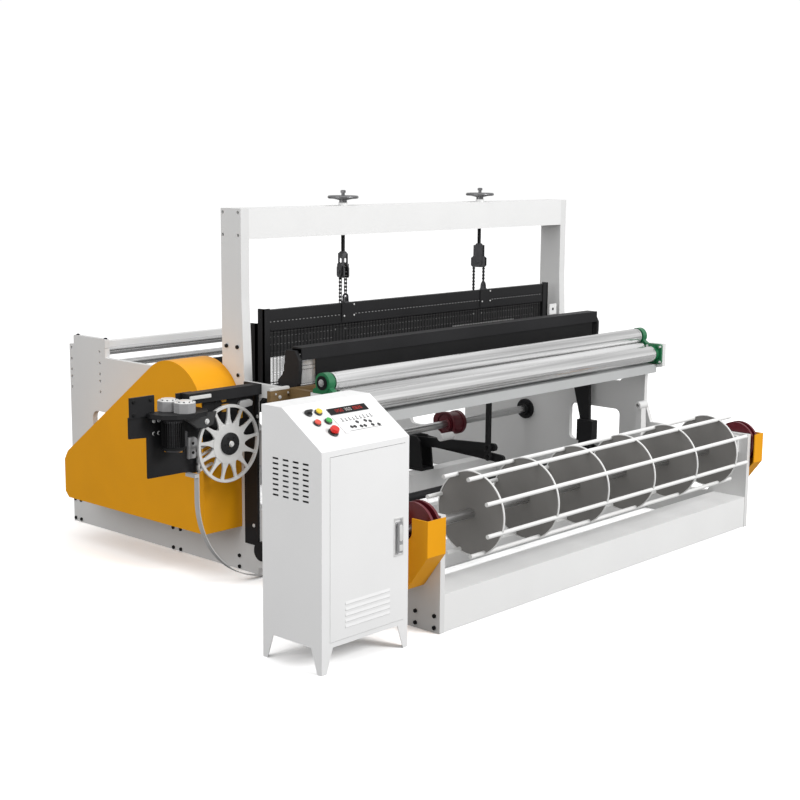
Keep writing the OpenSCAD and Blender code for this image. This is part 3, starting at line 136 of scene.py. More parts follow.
MATS = {
    "grey_paint": surface("grey_paint", (0.78, 0.78, 0.775), 0.42, grain=0.06, vary=0.015),
    "white_paint": surface("white_paint", (0.86, 0.86, 0.855), 0.40, grain=0.05, vary=0.012),
    "cabinet_paint": surface("cabinet_paint", (0.88, 0.88, 0.88), 0.45, grain=0.12, vary=0.01),
    "yellow_paint": surface("yellow_paint", (0.87, 0.375, 0.003), 0.42, grain=0.05, vary=0.03, specular=0.25),
    "blue_paint": surface("blue_paint", (0.04, 0.11, 0.26), 0.4, grain=0.1),
    "green_paint": surface("green_paint", (0.012, 0.16, 0.06), 0.32, grain=0.12, vary=0.1, coat=0.3),
    "black_paint": surface("black_paint", (0.016, 0.016, 0.0172), 0.50, grain=0.08, vary=0.2, specular=0.22),
    "maroon_paint": surface("maroon_paint", (0.12, 0.008, 0.016), 0.34, grain=0.1, vary=0.12, coat=0.2),
    "disc_grey": surface("disc_grey", (0.23, 0.222, 0.212), 0.5, grain=0.05, vary=0.05),
    "rod_white": surface("rod_white", (0.84, 0.84, 0.83), 0.3, vary=0.02),
    "heald_metal": surface("heald_metal", (0.011, 0.011, 0.012), 0.45, vary=0.15, grain=0.1, specular=0.35),
    "plain_steel": surface("plain_steel", (0.60, 0.60, 0.60), 0.28, metallic=1.0, vary=0.05, stretch=(1, 30, 30)),
    "reed_steel": surface("reed_steel", (0.50, 0.50, 0.51), 0.3, metallic=1.0, vary=0.05),
    "zinc": surface("zinc", (0.42, 0.42, 0.42), 0.35, metallic=0.9, vary=0.1, scale=20.0),
    "dark_metal": surface("dark_metal", (0.10, 0.10, 0.105), 0.38, metallic=0.8, vary=0.15, scale=15.0, grain=0.1),
    "handle_metal": surface("handle_metal", (0.42, 0.42, 0.43), 0.35, metallic=0.3, vary=0.05),
    # the chrome's colour swings widely in long bands along the rollers: painted reflection streaks, light and dark,
    # besides the uneven gloss
    "chrome_roller": surface("chrome_roller", (0.88, 0.88, 0.88), 0.14, metallic=0.80, vary=0.38, stretch=(0.15, 9, 9),
                             rough_vary=0.1),
    "iron": surface("iron", (0.16, 0.16, 0.165), 0.45, metallic=0.8, vary=0.12, scale=12.0, grain=0.2),
    "cast_aluminium": surface("cast_aluminium", (0.74, 0.74, 0.74), 0.30, metallic=0.85, vary=0.05, scale=14.0,
                              grain=0.12),
    "tan_plastic": surface("tan_plastic", (0.17, 0.105, 0.04), 0.5, vary=0.1, stretch=(1, 1, 12), scale=8.0),
    "belt_rubber": surface("belt_rubber", (0.015, 0.015, 0.015), 0.7, vary=0.2, grain=0.2),
    "gear_plastic": surface("gear_plastic", (0.35, 0.38, 0.40), 0.5, vary=0.05),
    "display_face": surface("display_face", (0.02, 0.02, 0.022), 0.2, vary=0.1, coat=0.3),
    "black_plastic": surface("black_plastic", (0.02, 0.02, 0.02), 0.4, vary=0.15, grain=0.05),
    "yellow_plastic": surface("yellow_plastic", (0.90, 0.62, 0.03), 0.28, vary=0.04, coat=0.2),
    "green_plastic": surface("green_plastic", (0.05, 0.42, 0.08), 0.28, vary=0.05, coat=0.2),
    "red_plastic": surface("red_plastic", (0.75, 0.08, 0.05), 0.28, vary=0.05, coat=0.2),
    "stop_plastic": surface("stop_plastic", (0.68, 0.018, 0.012), 0.3, vary=0.05, coat=0.2),
}


def dress_cad_nodes():
    """Gives every CAD node the procedural finish of its slot in the record."""
    slots = {s["node"]: s["material_slot"] for s in frame["record"]["subparts"]}
    for name, slot in slots.items():
        obj = frame["nodes"][name]
        if not obj.material_slots:
            obj.data.materials.append(MATS[slot])
        for s in obj.material_slots:
            s.material = MATS[slot]


dress_cad_nodes()


# ---------------------------------------------------------------- places and shapes
LEFT_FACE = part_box("side_frame_left")[0].x      # outer face of the left side frame
FRONT_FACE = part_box("stand_plates")[0].y        # front of the take-up stand
MM = 0.001


def at(x, y, z):
    """A point in millimetres from the left frame's outer face, the stand's front and the floor."""
    return Vector((LEFT_FACE + x * MM, FRONT_FACE + y * MM, z * MM))


def turned(x, y, degrees):
    """Places a shape drawn round its own upright axis at x, y and turns it there."""
    return Matrix.Translation((x, y, 0)) @ Matrix.Rotation(math.radians(degrees), 4, "Z")


PANEL_ANGLE = math.atan2(150, 226)


def on_panel(u, v, w):
    """A point of the cabinet's sloping panel: u to the right, v up the slope, w out of it."""
    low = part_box("cabinet_body")[0]
    x, y = (low.x - LEFT_FACE) / MM, (low.y - FRONT_FACE) / MM
    return (x + u, y + v * math.cos(PANEL_ANGLE) - w * math.sin(PANEL_ANGLE),
            902 + v * math.sin(PANEL_ANGLE) + w * math.cos(PANEL_ANGLE))


class Shape:
    """Gathers closed solids, drawn in millimetres, into one mesh."""

    def __init__(self, turn=None):
        self.bm = bmesh.new()
        self.turn = turn

    def rings(self, rings, caps=True, loop=False, bevel=0.0):
        """Joins rings of points by quads; the ends get caps, or the last ring meets the first."""
        rows = [[self.bm.verts.new(p) for p in ring] for ring in rings]
        n = len(rows[0])
        faces = []
        pairs = list(zip(rows, rows[1:])) + ([(rows[-1], rows[0])] if loop else [])
        for a, b in pairs:
            for i in range(n):
                faces.append(self.bm.faces.new((a[i], a[(i + 1) % n], b[(i + 1) % n], b[i])))
        if caps and not loop:
            faces.append(self.bm.faces.new(rows[0][::-1]))
            faces.append(self.bm.faces.new(rows[-1]))
        if bevel:
            for f in faces:
                f.normal_update()
            edges = [e for e in dict.fromkeys(e for f in faces for e in f.edges)
                     if len(e.link_faces) == 2 and abs(e.link_faces[0].normal.dot(e.link_faces[1].normal)) < 0.8]
            bmesh.ops.bevel(self.bm, geom=edges, offset=bevel, segments=2, affect="EDGES", clamp_overlap=True)
        return self

    def prism(self, outline, axis, a, b, bevel=0.0):
        """An outline in the two other axes, drawn from a to b along axis 0, 1 or 2."""
        def put(p, t):
            q = list(p)
            q.insert(axis, t)
            return Vector(q)
        return self.rings([[put(p, t) for p in outline] for t in (a, b)], bevel=bevel)

    def block(self, lo, hi, bevel=1.0):
        return self.prism([(lo[0], lo[1]), (hi[0], lo[1]), (hi[0], hi[1]), (lo[0], hi[1])], 2, lo[2], hi[2], bevel)

    def lathe(self, place, axis, profile, seg=32, loop=False, start=0.0):
        """Turns a profile of (radius, distance along the axis) about that axis through place."""
        axis = Vector(axis).normalized()
        side = axis.orthogonal().normalized()
        other = axis.cross(side)
        place = Vector(place)
        rows = []
        for r, t in profile:
            rows.append([place + axis * t + (side * math.cos(start + 2 * math.pi * i / seg)
                         + other * math.sin(start + 2 * math.pi * i / seg)) * max(r, 0.02) for i in range(seg)])
        return self.rings(rows, loop=loop)

    def bar(self, p, q, r, seg=16, chamfer=0.0):
        p, q = Vector(p), Vector(q)
        length = (q - p).length
        c = chamfer
        profile = [(r - c, 0), (r, c), (r, length - c), (r - c, length)] if c else [(r, 0), (r, length)]
        return self.lathe(p, q - p, profile, seg)

    def bolt(self, place, axis, r, h, washer=True):
        """A hexagon head with a chamfer, on a thin washer."""
        if washer:
            self.lathe(place, axis, [(r * 1.3, 0), (r * 1.3, h * 0.2), (r * 1.22, h * 0.26), (0, h * 0.26)], 20)
        return self.lathe(place, axis, [(r, 0), (r, h * 0.85), (r * 0.86, h), (0, h)], 6, start=0.26)

    def button(self, place, axis, r, h):
        """A round domed head with a small socket."""
        return self.lathe(place, axis, [(r, 0), (r, h * 0.45), (r * 0.82, h * 0.85), (r * 0.42, h), (r * 0.34, h * 0.5),
                                        (0, h * 0.5)], 18)

    def tube(self, points, r, seg=10):
        """A round bar swept along points, with flat ends."""
        points = [Vector(p) for p in points]
        rows = []
        side = None
        for i, p in enumerate(points):
            along = (points[min(i + 1, len(points) - 1)] - points[max(i - 1, 0)]).normalized()
            side = (along.orthogonal() if side is None else side - along * side.dot(along)).normalized()
            other = along.cross(side)
            rows.append([p + (side * math.cos(2 * math.pi * k / seg) + other * math.sin(2 * math.pi * k / seg)) * r
                         for k in range(seg)])
        return self.rings(rows)

    def finish(self, name, material, body, slot, crease=32):
        bmesh.ops.recalc_face_normals(self.bm, faces=self.bm.faces)
        if self.turn is not None:
            self.bm.transform(self.turn)
        for v in self.bm.verts:
            v.co = at(*v.co)
        mesh = bpy.data.meshes.new(name)
        self.bm.to_mesh(mesh)
        self.bm.free()
        mesh.polygons.foreach_set("use_smooth", [True] * len(mesh.polygons))
        mesh.set_sharp_from_angle(angle=math.radians(crease))
        mesh.materials.append(material)
        obj = bpy.data.objects.new(name, mesh)
        bpy.context.scene.collection.objects.link(obj)
        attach(obj, body)
        return obj


def piece(name, shape, slot, body="machine", look=None, crease=32):
    return shape.finish(name, EXTRA[look] if look else MATS[slot], body, slot, crease)


def arc(cx, cz, r, a1, a2, n):
    return [(cx + r * math.cos(math.radians(a1 + (a2 - a1) * k / n)),
             cz + r * math.sin(math.radians(a1 + (a2 - a1) * k / n))) for k in range(n + 1)]


def capsule(p, q, r, n=7):
    """An outline round two points at distance r."""
    turn = math.degrees(math.atan2(q[1] - p[1], q[0] - p[0]))
    return arc(q[0], q[1], r, turn - 90, turn + 90, n) + arc(p[0], p[1], r, turn + 90, turn + 270, n)


def rounded(x1, z1, x2, z2, r, n=5):
    return (arc(x2 - r, z1 + r, r, -90, 0, n) + arc(x2 - r, z2 - r, r, 0, 90, n)
            + arc(x1 + r, z2 - r, r, 90, 180, n) + arc(x1 + r, z1 + r, r, 180, 270, n))


EXTRA = {
    "dark_casting": surface("dark_casting", (0.035, 0.035, 0.036), 0.5, vary=0.15, grain=0.3, scale=14.0),
    "brass": surface("brass", (0.80, 0.42, 0.05), 0.35, metallic=0.2, vary=0.08, scale=30.0),
    "light_steel": surface("light_steel", (0.66, 0.66, 0.66), 0.35, metallic=0.35, vary=0.05, scale=12.0),
    "bright_bolt": surface("bright_bolt", (0.80, 0.80, 0.79), 0.3, metallic=0.2, vary=0.06, scale=40.0),
    "cast_grey": surface("cast_grey", (0.34, 0.34, 0.345), 0.5, vary=0.06, grain=0.3, scale=14.0),
    "heald_wire": surface("heald_wire", (0.10, 0.10, 0.10), 0.4, metallic=0.2, vary=0.1, scale=30.0),
    "rivet_grey": surface("rivet_grey", (0.34, 0.34, 0.34), 0.4, vary=0.1, scale=30.0),
    "dent_steel": surface("dent_steel", (0.95, 0.95, 0.95), 0.4, metallic=0.1, vary=0.06, scale=30.0),
    "deep_black": surface("deep_black", (0.006, 0.006, 0.0065), 0.5, vary=0.2, specular=0.25),
    "icon_black": surface("icon_black", (0.03, 0.03, 0.032), 0.4, vary=0.1),
    "digit_red": surface("digit_red", (0.75, 0.03, 0.02), 0.3, vary=0.1),
    "digit_white": surface("digit_white", (0.85, 0.80, 0.78), 0.3, vary=0.05),
    "handwheel_steel": surface("handwheel_steel", (0.20, 0.20, 0.205), 0.3, metallic=0.7, vary=0.1, scale=20.0),
    "beam_grey": surface("beam_grey", (0.50, 0.51, 0.51), 0.42, grain=0.06, vary=0.02),
    "wheel_light": surface("wheel_light", (0.80, 0.80, 0.79), 0.34, metallic=0.25, vary=0.04, scale=14.0, grain=0.12),
}

for name, look in (("frame_bolts", "deep_black"), ("breast_beam", "beam_grey"), ("tape_guide", "light_steel"), ("handwheel_left", "handwheel_steel"),
                   ("handwheel_right", "handwheel_steel")):
    for slot in frame["nodes"][name].material_slots:
        slot.material = EXTRA[look]


# ---------------------------------------------------------------- hangers, chains and heald frames
SPINDLES = {"left": 748.0, "right": 1850.0}
SPINDLE_Y = 1400.0
SPROCKET_Z, SPROCKET_R = 1438.0, 30.0
RUN_Y = 28.5
RUN_X = math.sqrt(SPROCKET_R ** 2 - RUN_Y ** 2)
TURN = {"left": math.degrees(math.atan2(RUN_Y, RUN_X)), "right": -math.degrees(math.atan2(RUN_Y, RUN_X))}
FRAMES = {"front": (1371.5, 1280.0, 104.0), "rear": (1428.5, 1205.0, 140.0)}   # middle, top, depth of top rail
FRAME_X = (159.0, 2439.0)


def screw(shape, x, y, z1, z2, r, depth, pitch, seg=20):
    steps = int((z2 - z1) / pitch * 4)
    rows = []
    for i in range(steps + 1):
        z = z1 + (z2 - z1) * i / steps
        ring = []
        for k in range(seg):
            phase = (z / pitch - k / seg) % 1.0
            rad = r + depth * (1 - abs(2 * phase - 1))
            ring.append(Vector((x + rad * math.cos(2 * math.pi * k / seg), y + rad * math.sin(2 * math.pi * k / seg), z)))
        rows.append(ring)
    shape.rings(rows)


def make_hangers():
    for side, x in SPINDLES.items():
        turn = turned(x, SPINDLE_Y, TURN[side])
        s = Shape(turn)
        for d in (-1, 1):
            head = 1534 if side == "right" else 1480
            outline = [(-26, head), (26, head)] + arc(0, SPROCKET_Z, 27, 0, -180, 16)
            s.prism(outline, 1, *sorted((d * 15.8, d * 22.0)), bevel=1.6)
            s.lathe((0, d * 22.0, SPROCKET_Z), (0, d, 0), [(9, 0), (9, 2.4), (7, 3.8), (0, 3.8)], 24)
        # the clamp nut round the spindle's foot
        s.lathe((0, 0, 1534), (0, 0, 1), [(20, 0), (20, 5), (15, 9), (12.5, 9), (12.5, 0)], 24, loop=True)
        piece("hanger_cheeks_" + side, s, "dark_metal")
        s = Shape()
        screw(s, x, SPINDLE_Y, 1544, 1631, 9.1, 1.6, 5.0)
        piece("spindle_thread_" + side, s, "dark_metal", side + "_handwheel", "deep_black", crease=60)
        # the chain's way over the sprocket
        s = Shape(turn)
        # only its crown: the straight runs rise past both ends when a heald frame is lifted
        knots = [(SPROCKET_R * math.cos(math.radians(a)), SPROCKET_Z + SPROCKET_R * math.sin(math.radians(a)))
                 for a in (57, 72, 108, 123)]
        for p in knots[1:-1]:
            s.bar((p[0], -7.6, p[1]), (p[0], 7.6, p[1]), 6, 14, 0.6)
        for k in range(3):
            off = 6.2 if k % 2 else 4.6
            for d in (-1, 1):
                s.prism(capsule(knots[k], knots[k + 1], 6.0), 1, *sorted((d * (off - 0.7), d * (off + 0.7))))
        piece("chain_arc_" + side, s, "dark_metal")


def make_frame_details(name):
    y, top, rail = FRAMES[name]
    front = y - 15
    low = top - 440
    x1, x2 = FRAME_X
    body = name + "_healds"
    # the chain's clevises on the top rail and the plates that carry them
    s = Shape()
    bright = Shape()
    d = -1 if name == "front" else 1
    for side, x in SPINDLES.items():
        cx = x + (RUN_X if side == "right" else -RUN_X) * -d
        c = Shape(turned(cx, y, TURN[side]))
        for e in (-1, 1):
            c.prism([(-14, top), (14, top), (12, top + 26)] + arc(0, top + 34, 10, 10, 170, 8) + [(-12, top + 26)], 1,
                    *sorted((e * 9.4, e * 13.0)), bevel=0.8)
            c.lathe((0, e * 13.0, top + 30), (0, e, 0), [(6.5, 0), (6.5, 3), (5, 4), (0, 4)], 6)
        c.block((-17, -15, top), (17, 15, top + 7), 1.2)
        piece("chain_clevis_%s_%s" % (name, side), c, "dark_metal", body)
        px = x + (-8 if side == "left" else 8) + (-d * 4)
        s.block((px - 50, front - 4.5, top - rail + 3), (px + 50, front + 0.2, top - 1), 1.4)
        for bx, bz in ((px + 38, top - 10), (px + 38, top - 66), (px - 34, top - 66)):
            bright.button((bx, front - 4.4, bz), (0, -1, 0), 4.8, 4)
    # guide shoes at both ends
    for a, b, cheek in ((x1 - 13, x1 + 36, x1 - 13), (x2 - 36, x2 + 13, x2 + 0.2)):
        s.block((a, front - 4.4, low + 6), (b, front - 0.2, top + 8), 1.0)
        s.block((cheek, front - 4.4, low + 6), (cheek + 12.8, y + 18, top + 8), 1.0)
    # a stiffening rib along the lower edge of the top rail
    s.block((x1 + 40, front - 3, top - rail + 1), (x2 - 40, front - 0.2, top - rail + 9), 0.8)
    piece("rail_plates_" + name, s, "heald_metal", body)
    piece("rail_bolts_" + name, bright, "zinc", body, "bright_bolt")
    # rows of rivets along the rail
    dots = Shape()
    rows = [top - 59] if name == "front" else [top - 69, top - 107]
    for z in rows:
        n = int((x2 - x1 - 70) / 25)
        for k in range(n):
            x = x1 + 36 + k * 25
            dots.block((x, front - 1.6, z - 1.8), (x + 10, front - 0.1, z + 1.8), 0.6)
    piece("rail_rivets_" + name, dots, "zinc", body, "rivet_grey")
    # fine healds between the broad ones, each with an eye
    wires = Shape()
    pitch = (x2 - x1 - 60) / 97
    zlo, zhi = low + 62, top - rail
    mid = (zlo + zhi) / 2
    for k in range(97):
        for f in (0.27, 0.5, 0.73):
            x = x1 + 30 + (k + f) * pitch
            for a, b in ((zlo, mid - 7), (mid + 7, zhi)):
                wires.prism([(x - 0.55, y - 0.5), (x + 0.55, y - 0.5), (x + 0.55, y + 0.5), (x - 0.55, y + 0.5)], 2, a, b)
            wires.lathe((x, y - 0.6, mid), (0, 1, 0), [(2.0, 0), (2.0, 1.2), (1.1, 1.2), (1.1, 0)], 6, loop=True)
    # carrier rods that the healds hang on
    for z in (zlo + 12, zhi - 12):
        wires.bar((x1 + 30, y + 5, z), (x2 - 30, y + 5, z), 2.6, 8)
    piece("healds_" + name, wires, "reed_steel", body, "heald_wire")


make_hangers()
make_frame_details("front")
make_frame_details("rear")
s = Shape()
s.bar((1640, 1409.5, 1081), (2196, 1409.5, 1081), 2.8, 10, 0.5)
piece("heald_rod_bright", s, "reed_steel", "rear_healds", "bright_bolt")


# ---------------------------------------------------------------- sley and reed
REED_Y, REED_X, REED_Z = 1046.0, (93.0, 2483.0), (932.0, 1082.0)


def make_reed():
    x1, x2 = REED_X
    z1, z2 = REED_Z
    s = Shape()
    s.block((x1, REED_Y - 3, z1 + 0.3), (x2, REED_Y + 3, z1 + 21), 0.8)
    s.block((x1, REED_Y - 3, z2 - 16), (x2, REED_Y + 3, z2 - 0.3), 0.8)
    for x in (x1, x2 - 14):
        s.block((x, REED_Y - 3, z1 + 18), (x + 14, REED_Y + 3, z2 - 12), 0.8)
    n = 380
    for k in range(n):
        x = x1 + 16 + (k + 0.5) * (x2 - x1 - 32) / n
        s.prism([(x - 0.7, REED_Y - 2.4), (x + 0.7, REED_Y - 2.4), (x + 0.7, REED_Y + 2.4), (x - 0.7, REED_Y + 2.4)], 2,
                z1 + 20, z2 - 15)
    obj = piece("reed_dents", s, "reed_steel", "sley_body", "dent_steel")
    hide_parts("reed")
    # the coils that space the dents, near the top and the foot
    s = Shape()
    for z in (z2 - 38, z2 - 56, z1 + 26):
        turns = 190
        pts = [(x1 + 18 + (x2 - x1 - 36) * k / (turns * 4), REED_Y - 4.2 + 1.5 * math.cos(k * math.pi / 2),
                z + 1.5 * math.sin(k * math.pi / 2)) for k in range(turns * 4 + 1)]
        s.tube(pts, 0.9, 5)
    piece("reed_coils", s, "reed_steel", "sley_body", "icon_black")


make_reed()
# painted shade: a thin sheet of deeper black laid over the sley's lower panel, standing in for the shadow cast by the
# cap that overhangs it
s = Shape()
s.block((190, 1020.6, 933), (2453, 1021.9, 1075), 0.5)
piece("sley_painted_shade_sheet", s, "black_paint", "sley_body", "deep_black")

# ---------------------------------------------------------------- rapier head
WHEEL = (-215.0, 693.0)
WHEEL_R = 186.0
s = Shape()
s.lathe((WHEEL[0], 1188, WHEEL[1]), (0, 1, 0), [(WHEEL_R - 14, 0), (WHEEL_R - 1, 0), (WHEEL_R, 1), (WHEEL_R, 13),
                                                (WHEEL_R - 1, 14), (WHEEL_R - 14, 14)], 96, loop=True)
s.lathe((WHEEL[0], 1188, WHEEL[1]), (0, 1, 0), [(96, 0), (96, 14), (40, 14), (40, 0)], 64, loop=True)
for k in range(13):
    a = 2 * math.pi * (k + 0.25) / 13
    ca, sa = math.cos(a), math.sin(a)
    outline = [(92, -20), (118, -11), (150, -7), (173, -8), (174, 0), (173, 8), (150, 7), (118, 11), (92, 20)]
    s.prism([(WHEEL[0] + r * ca - t * sa, WHEEL[1] + r * sa + t * ca) for r, t in outline], 1, 1190, 1200, 0.8)
wheel = piece("rapier_wheel_spokes", s, "cast_aluminium", "rapier_disc", "wheel_light")
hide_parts("rapier_wheel")
s = Shape()
s.lathe((WHEEL[0], 1180, WHEEL[1]), (0, 1, 0), [(53, -1), (53, 8), (16, 8), (16, -5), (40, -5)], 40, loop=True)
for k in range(6):
    a = math.pi / 3 * k
    s.bolt((WHEEL[0] + 34 * math.cos(a), 1175.5, WHEEL[1] + 34 * math.sin(a)), (0, -1, 0), 5, 4)
piece("rapier_hub_cover", s, "black_paint", "rapier_disc")
s = Shape()
s.bolt((WHEEL[0], 1174, WHEEL[1]), (0, -1, 0), 11, 9)
piece("rapier_hub_bolt", s, "zinc", "rapier_disc", "bright_bolt")

s = Shape()
s.prism([(-330, 705), (-318, 692), (-16, 692), (-16, 900), (-330, 900)], 1, 1241.5, 1246.5, 1.0)
piece("rapier_back_plate", s, "black_paint")
s = Shape()
s.prism(rounded(-221, 885, -191, 903, 4), 1, 1234, 1241.5, 1.0)
s.prism(rounded(-219, 838, -176, 874, 5), 1, 1232, 1241.5, 1.2)
s.prism(rounded(-117, 794, -93, 832, 5), 1, 1232, 1241.5, 1.2)
for x, z in ((-209, 856), (-188, 856), (-105, 822), (-105, 804)):
    s.button((x, 1232, z), (0, -1, 0), 4.5, 3.5)
piece("rapier_brass_guides", s, "zinc", look="brass")
s = Shape()
s.prism([(-122, 846), (-104, 843), (-40, 850), (-35, 870), (-58, 883), (-110, 880), (-122, 868)], 1, 1222, 1241.5, 2.0)
for k in range(4):
    z = 572 + k * 34
    s.prism([(-372, z), (-284, z + 26), (-284, z + 36), (-372, z + 10)], 1, 1226, 1240, 1.0)
s.prism([(-372, 566), (-360, 566), (-360, 700), (-372, 700)], 1, 1228, 1240, 1.0)
piece("rapier_light_castings", s, "cast_aluminium", look="light_steel")
s = Shape()
s.prism([(-507, 862), (-306, 862), (-318, 833), (-328, 803), (-376, 790), (-423, 796), (-480, 836), (-509, 845)],
        1, 1166, 1180, 2.2)
piece("rapier_front_casting", s, "iron", look="dark_casting")
s = Shape()
s.bolt((-367, 1166, 821), (0, -1, 0), 10, 7)
for x in (-604, -576):
    for z in (784, 842):
        s.button((x, 1254, z), (0, -1, 0), 9.5, 5)
s.bolt((-295, 1240, 801), (0, -1, 0), 8, 6)
for y, z in ((1250, 248), (1218, 793), (1228, 738)):
    s.bolt((-12.3, y, z), (-1, 0, 0), 7, 5)
s.block((-124, 1000, 952.2), (-3, 1018, 966), 2)
s.block((-442, 1190, 925), (-318, 1199.8, 942), 2)
piece("rapier_bright_bolts", s, "zinc", look="bright_bolt")
s = Shape()
for x in (-722, -628):
    for z in (884, 944):
        s.bolt((x, 1244, z), (0, -1, 0), 8, 6)
for x, z in ((-392, 712), (-392, 668)):
    s.bolt((x, 1239, z), (0, -1, 0), 6, 4)
for y, z in ((1449, 1114), (1370, 1114), (1369, 976)):
    s.button((-3.2, y, z), (-1, 0, 0), 9.5, 3)
piece("rapier_dark_bolts", s, "black_paint", look="deep_black")
s = Shape()
s.prism([(-419, 640), (-380, 640), (-366, 652), (-366, 664), (-378, 672), (-366, 684), (-366, 730), (-380, 741),
         (-419, 741)], 1, 1239, 1253.8, 1.2)
piece("rapier_clamp_plate", s, "cast_aluminium", look="cast_grey")
# octagonal covers of the two gear housings
s = Shape()
tops = Shape()
for x, y in ((-528, 1244), (-508, 1150)):
    s.lathe((x, y, 884), (0, 0, 1), [(51.5, 0.3), (51.5, 28), (50.8, 29), (50.8, 31), (51.5, 32), (51.5, 44.3)], 8,
            start=math.pi / 8)
    tops.lathe((x, y, 928.3), (0, 0, 1), [(51, 0), (51, 2), (48, 3.4), (36, 3.4), (36, 8.6), (33, 10), (0, 10)], 8,
               start=math.pi / 8)
    for k in range(8):
        a = math.pi / 4 * k + math.pi / 8
        tops.button((x + 42 * math.cos(a), y + 42 * math.sin(a), 931), (0, 0, 1), 2.6, 2.2)
piece("gear_housing_covers", s, "cast_aluminium", look="cast_grey", crease=25)
piece("gear_housing_tops", tops, "cast_aluminium", look="bright_bolt", crease=25)
# the motor's upright ribs and end rings
s = Shape()
for k in range(28):
    a = 2 * math.pi * k / 28
    ca, sa = math.cos(a), math.sin(a)
    s.prism([(-540 + r * ca - t * sa, 1196 + r * sa + t * ca) for r, t in ((46, -2), (53, -1.4), (53, 1.4), (46, 2))],
            2, 726, 846)
for z in (714, 848):
    s.lathe((-540, 1196, z), (0, 0, 1), [(40, 0), (53, 0), (55, 2), (55, 8), (53, 10), (40, 10)], 40, loop=True)
piece("rapier_motor_ribs", s, "black_paint", look="deep_black")
# brown board: bolts, plugs and its saddle over the frame
s = Shape()
for x in (-67, 10):
    s.bolt((x, 998.7, 920), (0, -1, 0), 7, 6)
    s.bolt((x - 25, 998.7, 936), (0, -1, 0), 4, 4)
piece("board_bolts", s, "zinc", look="light_steel")
s = Shape()
s.block((-3, 862, 951), (33, 999, 953.2), 0.8)
s.block((-3, 862, 897), (-0.2, 999, 951.5), 0.6)
piece("board_saddle", s, "tan_plastic")

# ---------------------------------------------------------------- cabinet
low = on_panel(0, 0, 0)
PANEL = Matrix(((1, 0, 0, low[0]), (0, math.cos(PANEL_ANGLE), -math.sin(PANEL_ANGLE), low[1]),
                (0, math.sin(PANEL_ANGLE), math.cos(PANEL_ANGLE), low[2]), (0, 0, 0, 1)))


def on(x1, y1, x2, y2, w1, w2):
    return (x1, y1, w1), (x2, y2, w2)


s = Shape(PANEL)
s.block(*on(205, 185.5, 415, 218.5, 3.0, 3.8), 0.3)
piece("display_glass", s, "display_face", look="deep_black")
SEGMENTS = {"0": "abcdef", "1": "bc", "2": "abged", "3": "abgcd", "5": "afgcd", "6": "afgedc", "8": "abcdefg"}


def digits(shape, text, u, v, w, h, pitch):
    bar = {"a": (0, 1, 1, 1), "g": (0, .5, 1, .5), "d": (0, 0, 1, 0), "f": (0, .5, 0, 1), "b": (1, .5, 1, 1),
           "e": (0, 0, 0, .5), "c": (1, 0, 1, .5)}
    for i, t in enumerate(text):
        for name in SEGMENTS.get(t, ""):
            x1, y1, x2, y2 = bar[name]
            p = (u + i * pitch + x1 * w, v + y1 * h)
            q = (u + i * pitch + x2 * w, v + y2 * h)
            shape.block((p[0] - 0.7, p[1] - 0.7, 3.8), (q[0] + 0.7, q[1] + 0.7, 4.3), 0.2)


red, white = Shape(PANEL), Shape(PANEL)
digits(red, "1250", 232, 194, 7, 15, 13)
digits(white, "360", 292, 194, 7, 15, 13)
digits(red, "0826", 340, 194, 7, 15, 13)
piece("display_digits_red", red, "red_plastic", look="digit_red")
piece("display_digits_white", white, "zinc", look="digit_white")
s = Shape(PANEL)
s.block(*on(195.4, 75.4, 424.6, 172.6, 0.3, 2.8), 0.4)
piece("keypad_plate", s, "cabinet_paint")
s = Shape(PANEL)
for k in range(9):
    u = 228 + k * 20.5
    s.block((u - 1, 139, 2.8), (u + 11, 143, 3.3), 0.2)
    s.block((u + 3, 145, 2.8), (u + 7, 160 - 4 * (k % 2), 3.3), 0.2)
for u, v in ((298, 124), (345, 124), (367, 116), (250, 103), (268, 102), (301, 98), (322, 97), (364, 95), (397, 91)):
    s.prism([(u - 10, v), (u - 6, v + 6), (u, v + 10), (u + 6, v + 6), (u + 10, v), (u + 6, v - 6), (u, v - 10), (u - 6, v - 6)],
            2, 2.8, 3.3, 0.2)
s.block((223, 81, 2.8), (408, 83, 3.3), 0.2)
piece("keypad_marks", s, "black_plastic", look="icon_black")
s = Shape(PANEL)
for u, v, r in ((98, 214, 17), (150, 210, 16.5), (159, 153, 16.5), (98, 153, 16.5), (136, 91, 22)):
    s.lathe((u, v, 0.2), (0, 0, 1), [(r, 0), (r, 6), (r - 2, 7.5), (11 if r < 20 else 14, 7.5),
                                     (11 if r < 20 else 14, 0)], 36, loop=True)
piece("button_collars", s, "black_plastic")
# the door's lock plate with its lever
s = Shape()
for x in (-359.5, -309.5):
    s.block((x, -8.2, 407), (x + 7, -6.1, 569), 0.5)
for z in (407, 563):
    s.block((-353, -8.2, z), (-309, -6.1, z + 6), 0.5)
piece("lock_plate", s, "handle_metal", "door", look="bright_bolt")
s = Shape()
grip = (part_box("door_handle")[0].y - FRONT_FACE) / MM
s.prism(capsule((-331, 480), (-331, 532), 9.5, 9), 1, grip - 3.5, grip + 0.4, 1.2)
s.block((-341, grip - 3.5, 430), (-321, grip + 0.4, 456), 1.4)
piece("door_lever", s, "handle_metal", "door_grip", look="bright_bolt")
s = Shape()
for z in (172, 196, 220, 244, 268):
    s.prism([(-8.5, z), (-6, z + 12), (-6, z - 3)], 0, -640, -380, 0.4)
piece("door_louvres", s, "cabinet_paint", "door")

